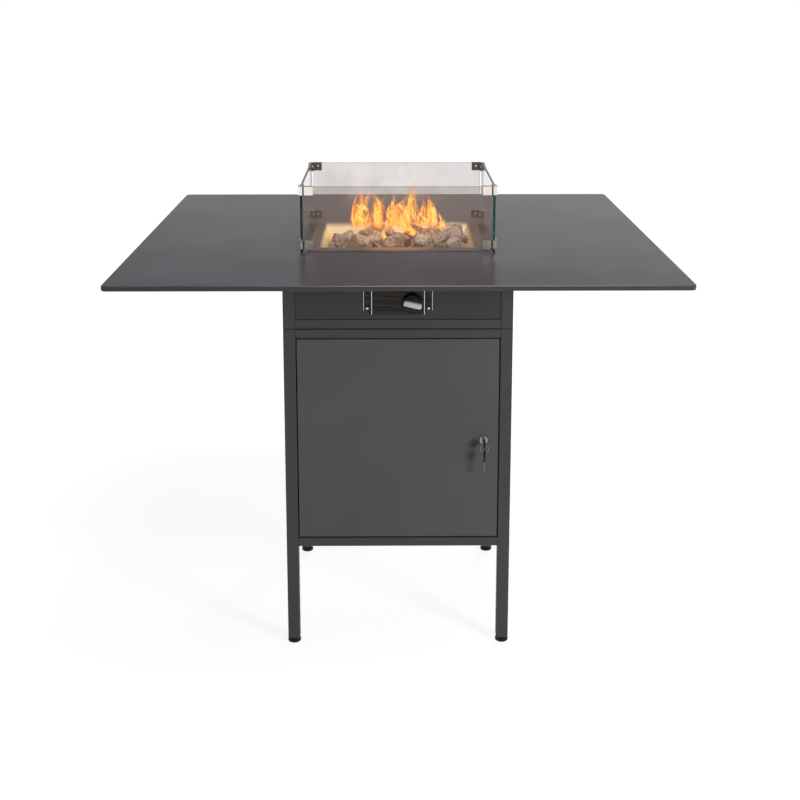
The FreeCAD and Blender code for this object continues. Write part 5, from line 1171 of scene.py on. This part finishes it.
def sheet_body(tree, heart, tip):
    """How full a sheet is: 1 in its middle, falling to 0 at its sides, its foot and its tip. The falls
    to the sides and to the tip run between the ends given, as shares of its width and of its height."""
    spot = add_node(tree, "ShaderNodeUVMap", uv_map="flame")
    across = add_node(tree, "ShaderNodeSeparateXYZ", (spot,)).outputs
    off = add_node(tree, "ShaderNodeMath", (across["X"], 0.5), operation="SUBTRACT")
    wide = add_node(tree, "ShaderNodeMath", (off,), operation="ABSOLUTE")
    middle, above, below = (
        add_node(tree, "ShaderNodeMapRange", (value, *ends, 0.0, 1.0), interpolation_type="SMOOTHSTEP")
        for value, ends in ((wide, heart), (across["Y"], tip), (across["Y"], (0.0, 0.3))))
    ends = add_node(tree, "ShaderNodeMath", (above, below), operation="MULTIPLY")
    return add_node(tree, "ShaderNodeMath", (middle, ends), operation="MULTIPLY")


def flame_material(settings):
    """Gas flame: bright yellow threads in clear orange, fading towards its sides, its foot and its tip."""
    material, tree, at = new_material("gas_flame")
    body = sheet_body(tree, (0.5, 0.1), (1.0, 0.5))
    # A pattern of about 17 mm, drawn out upwards to five times that, gives threads about 6 mm wide
    mapped = add_node(tree, "ShaderNodeMapping", {"Vector": at["Object"], "Scale": (1.0, 1.0, 0.2)})
    wisp = add_node(tree, "ShaderNodeTexNoise", {
        "Vector": mapped, "Scale": scale_of(17.241), "Detail": 2.0, "Distortion": 1.9})
    middle = add_node(tree, "ShaderNodeMath", (wisp, 0.5), operation="SUBTRACT")
    apart = add_node(tree, "ShaderNodeMath", (middle,), operation="ABSOLUTE")
    thread = add_node(tree, "ShaderNodeMapRange", (apart, 0.12, 0.0, 0.0, 1.0),
                      interpolation_type="SMOOTHSTEP")
    dense = add_node(tree, "ShaderNodeMapRange", (thread, 0.0, 1.0, 0.34, 1.4))
    fade = add_node(tree, "ShaderNodeMath", (body, dense), operation="MULTIPLY", use_clamp=True)
    cool = add_node(tree, "ShaderNodeMix", {0: body, 6: linear("#dd5406"), 7: linear("#ff8e14")},
                    data_type="RGBA")
    hot = add_node(tree, "ShaderNodeMath", (body, thread), operation="MULTIPLY")
    tone = add_node(tree, "ShaderNodeMix", {0: hot, 6: cool, 7: linear("#ffdc6c")}, data_type="RGBA")
    # Thin parts glow more than they cover, so they stay clear and don't turn brown
    glow = add_node(tree, "ShaderNodeMapRange", (
        fade, 0.0, 1.0, settings.flame_glow * 1.6, settings.flame_glow))
    light = add_node(tree, "ShaderNodeEmission", {"Color": tone, "Strength": glow})
    clear = add_node(tree, "ShaderNodeBsdfTransparent")
    shader = add_node(tree, "ShaderNodeMixShader", (fade, clear, light))
    add_node(tree, "ShaderNodeOutputMaterial", (shader,))
    return material


def haze_material():
    """Hot air over the flames: a faint rosy veil that thins out to nothing."""
    material, tree, at = new_material("hot_air_veil")
    body = sheet_body(tree, (0.5, 0.05), (0.69, 0.55))
    # Puffs of about 50 mm
    puff = add_node(tree, "ShaderNodeTexNoise", {
        "Vector": at["Object"], "Scale": scale_of(50.0), "Detail": 2.0, "Distortion": 0.6})
    share = add_node(tree, "ShaderNodeMapRange", (puff, 0.32, 0.68, 0.04, 0.24))
    thin = add_node(tree, "ShaderNodeMath", (body, share), operation="MULTIPLY")
    light = add_node(tree, "ShaderNodeEmission", {"Color": linear("#f6decb"), "Strength": 1.4})
    clear = add_node(tree, "ShaderNodeBsdfTransparent")
    shader = add_node(tree, "ShaderNodeMixShader", (thin, clear, light))
    add_node(tree, "ShaderNodeOutputMaterial", (shader,))
    return material


def add_flame(bm, foot, bend, tip, width, sway, turn, seed):
    """Adds one tongue, in millimetres: a cupped sheet on a curve from its foot past a bend to its tip."""
    rng = random.Random(seed)
    phase = rng.uniform(0, 6.28)
    across, along = 10, 40
    foot, bend, tip = Vector(foot) * MM, Vector(bend) * MM, Vector(tip) * MM
    side = Vector((math.cos(turn), math.sin(turn), 0))
    back = Vector((-math.sin(turn), math.cos(turn), 0))
    layer = bm.loops.layers.uv.get("flame") or bm.loops.layers.uv.new("flame")
    grid = []
    for j in range(along + 1):
        v = j / along
        middle = foot.lerp(bend, v).lerp(bend.lerp(tip, v), v)
        middle += side * (1.7 * sway * MM * math.sin(phase + v * 6.4) * v * (1.2 - 0.5 * v))
        middle += back * (sway * MM * 0.6 * math.cos(phase * 1.7 + v * 5.1) * v)
        # Widest at two fifths of its height, 0.6 mm wide at its tip, and uneven in between
        belly = 0.75 + 0.45 * math.sin(math.pi * min(1.0, v * 1.25))
        spread = width * MM * belly * (1 - v ** 2.6) + 0.6 * MM
        spread *= 1 + 0.24 * math.sin(phase * 2.3 + v * 8.0)
        row = []
        for i in range(across + 1):
            u = i / across - 0.5
            cup = back * (spread * 0.7 * (0.25 - u * u) * 2)
            row.append(bm.verts.new(middle + side * (u * spread) + cup))
        grid.append(row)
    for j in range(along):
        for i in range(across):
            face = bm.faces.new((grid[j][i], grid[j][i + 1], grid[j + 1][i + 1], grid[j + 1][i]))
            face.smooth = True
            spots = ((i, j), (i + 1, j), (i + 1, j + 1), (i, j + 1))
            for loop, (a, b) in zip(face.loops, spots):
                loop[layer].uv = (a / across, b / along)


def stage_piece(name, bm, material):
    """Makes an object in metres that belongs to the stage."""
    mesh = bpy.data.meshes.new(name)
    bm.to_mesh(mesh)
    bm.free()
    mesh.materials.append(material)
    piece = bpy.data.objects.new(name, mesh)
    bpy.context.scene.collection.objects.link(piece)
    return piece


class FIRETABLE_OT_flames(bpy.types.Operator):
    """Sets the flames over the rocks; they are part of the stage and not of the table."""

    bl_idname = "firetable.flames"
    bl_label = "Flames"

    def execute(self, context):
        settings = context.scene.fire_stage
        # Foot x, y, z, bend x, z, tip x, z, width and sway of each tongue, in millimetres
        tongues = (
            (-80, -62, 1030, -126, 1080, -86, 1158, 46, 5),
            (-72, -44, 1030, -94, 1094, -76, 1146, 44, 6),
            (-60, -54, 1030, -42, 1092, -72, 1150, 42, 6),
            (-52, -30, 1030, -40, 1078, -60, 1112, 30, 5),
            (-84, -28, 1030, -122, 1060, -104, 1100, 34, 5),
            (-42, -56, 1026, -50, 1080, -35, 1136, 28, 4),
            (-26, -44, 1026, -10, 1066, -20, 1108, 25, 4),
            (0, -40, 1034, -16, 1084, -12, 1142, 32, 5),
            (22, -54, 1034, 24, 1090, 10, 1112, 40, 6),
            (42, -36, 1034, 36, 1096, 52, 1160, 50, 6),
            (56, -58, 1032, 70, 1094, 62, 1124, 36, 5),
            (14, -18, 1034, 0, 1078, 26, 1130, 50, 6),
            (86, -52, 1028, 98, 1084, 80, 1142, 34, 5),
            (74, -32, 1030, 82, 1074, 70, 1100, 34, 5),
            (104, -44, 1026, 122, 1056, 108, 1088, 26, 4),
            (-30, -112, 1016, -36, 1036, -29, 1058, 17, 3),
        )
        fire = bmesh.new()
        for i, (x, y, z, bend_x, bend_z, tip_x, tip_z, width, sway) in enumerate(tongues):
            foot = (x, y, z)
            tip = (tip_x, y, z + (tip_z - z) * settings.flame_height)
            turn = 0.3 if i % 2 else -0.3
            add_flame(fire, foot, (bend_x, y - 4, bend_z), tip, width, sway, turn, 40 + i)
            # Every third has a second sheet across it
            if i % 3 == 0:
                add_flame(fire, foot, (bend_x, y + 4, bend_z), tip, width, sway, 1.6, 70 + i)
        # A bright tongue that curls from the upper left down to the lower right
        for k in range(2):
            add_flame(fire, (96 - 6 * k, -92 + 8 * k, 1012), (6 * k, -90, 1030),
                      (-10 + 6 * k, -78, 1136), 44, 4, 0.25 - 0.4 * k, 90 + k)
        stage_piece("lit_flames", fire, flame_material(settings)).visible_glossy = False
        air = bmesh.new()
        for i, (x, width) in enumerate(((-80, 130), (44, 165))):
            add_flame(air, (x, BURNER_Y, 1070), (x - 4, BURNER_Y, 1170), (x + 4, BURNER_Y, 1290),
                      width, 5, 0.2, 120 + i)
        stage_piece("hot_air", air, haze_material()).visible_glossy = False
        return {"FINISHED"}


class FIRETABLE_OT_stage(bpy.types.Operator):
    """Lays the white floor and backdrop, the soft lamps and the camera."""

    bl_idname = "firetable.stage"
    bl_label = "Stage"

    def execute(self, context):
        scene = context.scene
        settings = scene.fire_stage
        scene.view_settings.view_transform = "Standard"
        white = (1.0, 1.0, 1.0)

        material, tree, at = new_material("white_studio_floor")
        matt = add_node(tree, "ShaderNodeBsdfDiffuse", {"Color": linear("#949494")})
        shadow = add_node(tree, "ShaderNodeBsdfDiffuse", {"Color": linear("#8a8a8a")})
        # The floor is white from 3 m off, and a little less near the table, so that its shadow shows
        away = add_node(tree, "ShaderNodeVectorMath", (at["Object"],), operation="LENGTH")
        share = add_node(tree, "ShaderNodeMapRange", (away, 1.2, 3.0, 0.87, 1.0))
        bright = add_node(tree, "ShaderNodeEmission", {"Color": white, "Strength": share})
        seen = add_node(tree, "ShaderNodeAddShader", (shadow, bright))
        shader = add_node(tree, "ShaderNodeMixShader", (white_where_seen(tree), matt, seen))
        add_node(tree, "ShaderNodeOutputMaterial", (shader,))
        bm = bmesh.new()
        bmesh.ops.create_grid(bm, x_segments=1, y_segments=1, size=30.0)
        stage_piece("studio_floor", bm, material)

        world = bpy.data.worlds.new("white_studio")
        world.use_nodes = True
        scene.world = world
        tree = world.node_tree
        tree.nodes.clear()
        light = add_node(tree, "ShaderNodeBackground", {"Color": white, "Strength": settings.sky})
        # Reflections find the backdrop white up to 10 degrees over the horizon and the dark room from
        # 12 degrees up, and its upper edge rises towards the right
        ray = add_node(tree, "ShaderNodeTexCoord").outputs["Generated"]
        height = add_node(tree, "ShaderNodeVectorMath", (ray, (-0.1, 0.0, 1.0)), operation="DOT_PRODUCT")
        fall = add_node(tree, "ShaderNodeMapRange", (height, 0.18, 0.203, 1.0, settings.ceiling))
        glossy = add_node(tree, "ShaderNodeLightPath").outputs["Is Glossy Ray"]
        strength = add_node(tree, "ShaderNodeMix", {0: glossy, 2: 1.0, 3: fall})
        backdrop = add_node(tree, "ShaderNodeBackground", {"Color": white, "Strength": strength})
        shader = add_node(tree, "ShaderNodeMixShader", (white_where_seen(tree), light, backdrop))
        add_node(tree, "ShaderNodeOutputWorld", (shader,))

        # Place, aim, power, size and colour of each lamp
        for name, place, aim, power, size, colour in (
            ("key_lamp", (2.3, -2.7, 1.35), (0.1, -0.3, 0.75), settings.key_power, 0.8, white),
            ("top_lamp", (0.25, -0.7, 2.9), (0.0, 0.0, 1.0), settings.top_power, 1.2, white),
            ("rear_lamp", (1.5, 3.6, 2.0), (0.2, 0.2, 1.0), settings.rear_power, 1.6, white),
            ("fill_lamp", (-2.6, -2.6, 1.5), (0.0, -0.3, 0.7), settings.fill_power, 1.8, white),
            ("fire_lamp", (0.0, -0.05, 1.13), (0.0, -0.05, 1.0), settings.fire_power, 0.3,
             linear("#ffc890")),
        ):
            lamp = bpy.data.lights.new(name, "AREA")
            lamp.energy = power
            lamp.size = size
            lamp.color = colour
            holder = bpy.data.objects.new(name, lamp)
            holder.location = place
            holder.rotation_euler = (Vector(aim) - Vector(place)).to_track_quat("-Z", "Y").to_euler()
            # No lamp shows in the picture, and the slab mirrors only the two weak ones, without glare
            holder.visible_camera = False
            holder.visible_glossy = name in ("top_lamp", "fill_lamp")
            scene.collection.objects.link(holder)

        camera = bpy.data.cameras.new("photo_camera")
        camera.lens = CAMERA_LENS
        camera.sensor_width = CAMERA_SENSOR
        camera.shift_y = CAMERA_SHIFT
        holder = bpy.data.objects.new("photo_camera", camera)
        holder.location = CAMERA_PLACE
        holder.rotation_euler = (math.radians(90 - CAMERA_TILT), 0.0, CAMERA_TURN)
        scene.collection.objects.link(holder)
        scene.camera = holder
        return {"FINISHED"}


class FIRETABLE_PT_panel(bpy.types.Panel):
    """Lists the steps that dress the table, and their settings."""

    bl_idname = "FIRETABLE_PT_panel"
    bl_label = "Fire Table"
    bl_space_type = "VIEW_3D"
    bl_region_type = "UI"
    bl_category = "Fire Table"

    def draw(self, context):
        for operator in OPERATORS:
            self.layout.operator(operator.bl_idname)
        for group in (context.scene.fire_finishes, context.scene.fire_stones, context.scene.fire_stage):
            box = self.layout.box()
            for name in group.__annotations__:
                box.prop(group, name)


OPERATORS = (
    FIRETABLE_OT_stage,
    FIRETABLE_OT_cabinet,
    FIRETABLE_OT_top,
    FIRETABLE_OT_burner,
    FIRETABLE_OT_stones,
    FIRETABLE_OT_glass,
    FIRETABLE_OT_clamps,
    FIRETABLE_OT_screws,
    FIRETABLE_OT_controls,
    FIRETABLE_OT_lock,
    FIRETABLE_OT_keys,
    FIRETABLE_OT_glides,
    FIRETABLE_OT_flames,
)
CLASSES = (FireTableFinishes, FireTableStones, FireTableStage) + OPERATORS + (FIRETABLE_PT_panel,)


def register():
    """Registers the classes and hangs the settings on the scene."""
    for cls in CLASSES:
        bpy.utils.register_class(cls)
    bpy.types.Scene.fire_finishes = bpy.props.PointerProperty(type=FireTableFinishes)
    bpy.types.Scene.fire_stones = bpy.props.PointerProperty(type=FireTableStones)
    bpy.types.Scene.fire_stage = bpy.props.PointerProperty(type=FireTableStage)


def unregister():
    """Takes the settings and the classes away again."""
    del bpy.types.Scene.fire_stage
    del bpy.types.Scene.fire_stones
    del bpy.types.Scene.fire_finishes
    for cls in reversed(CLASSES):
        bpy.utils.unregister_class(cls)


def main():
    """Registers the add-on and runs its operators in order."""
    register()
    bpy.ops.firetable.stage()
    bpy.ops.firetable.cabinet()
    bpy.ops.firetable.top()
    bpy.ops.firetable.burner()
    bpy.ops.firetable.stones()
    bpy.ops.firetable.glass()
    bpy.ops.firetable.clamps()
    bpy.ops.firetable.screws()
    bpy.ops.firetable.controls()
    bpy.ops.firetable.lock()
    bpy.ops.firetable.keys()
    bpy.ops.firetable.glides()
    bpy.ops.firetable.flames()


if __name__ == "__main__":
    main()
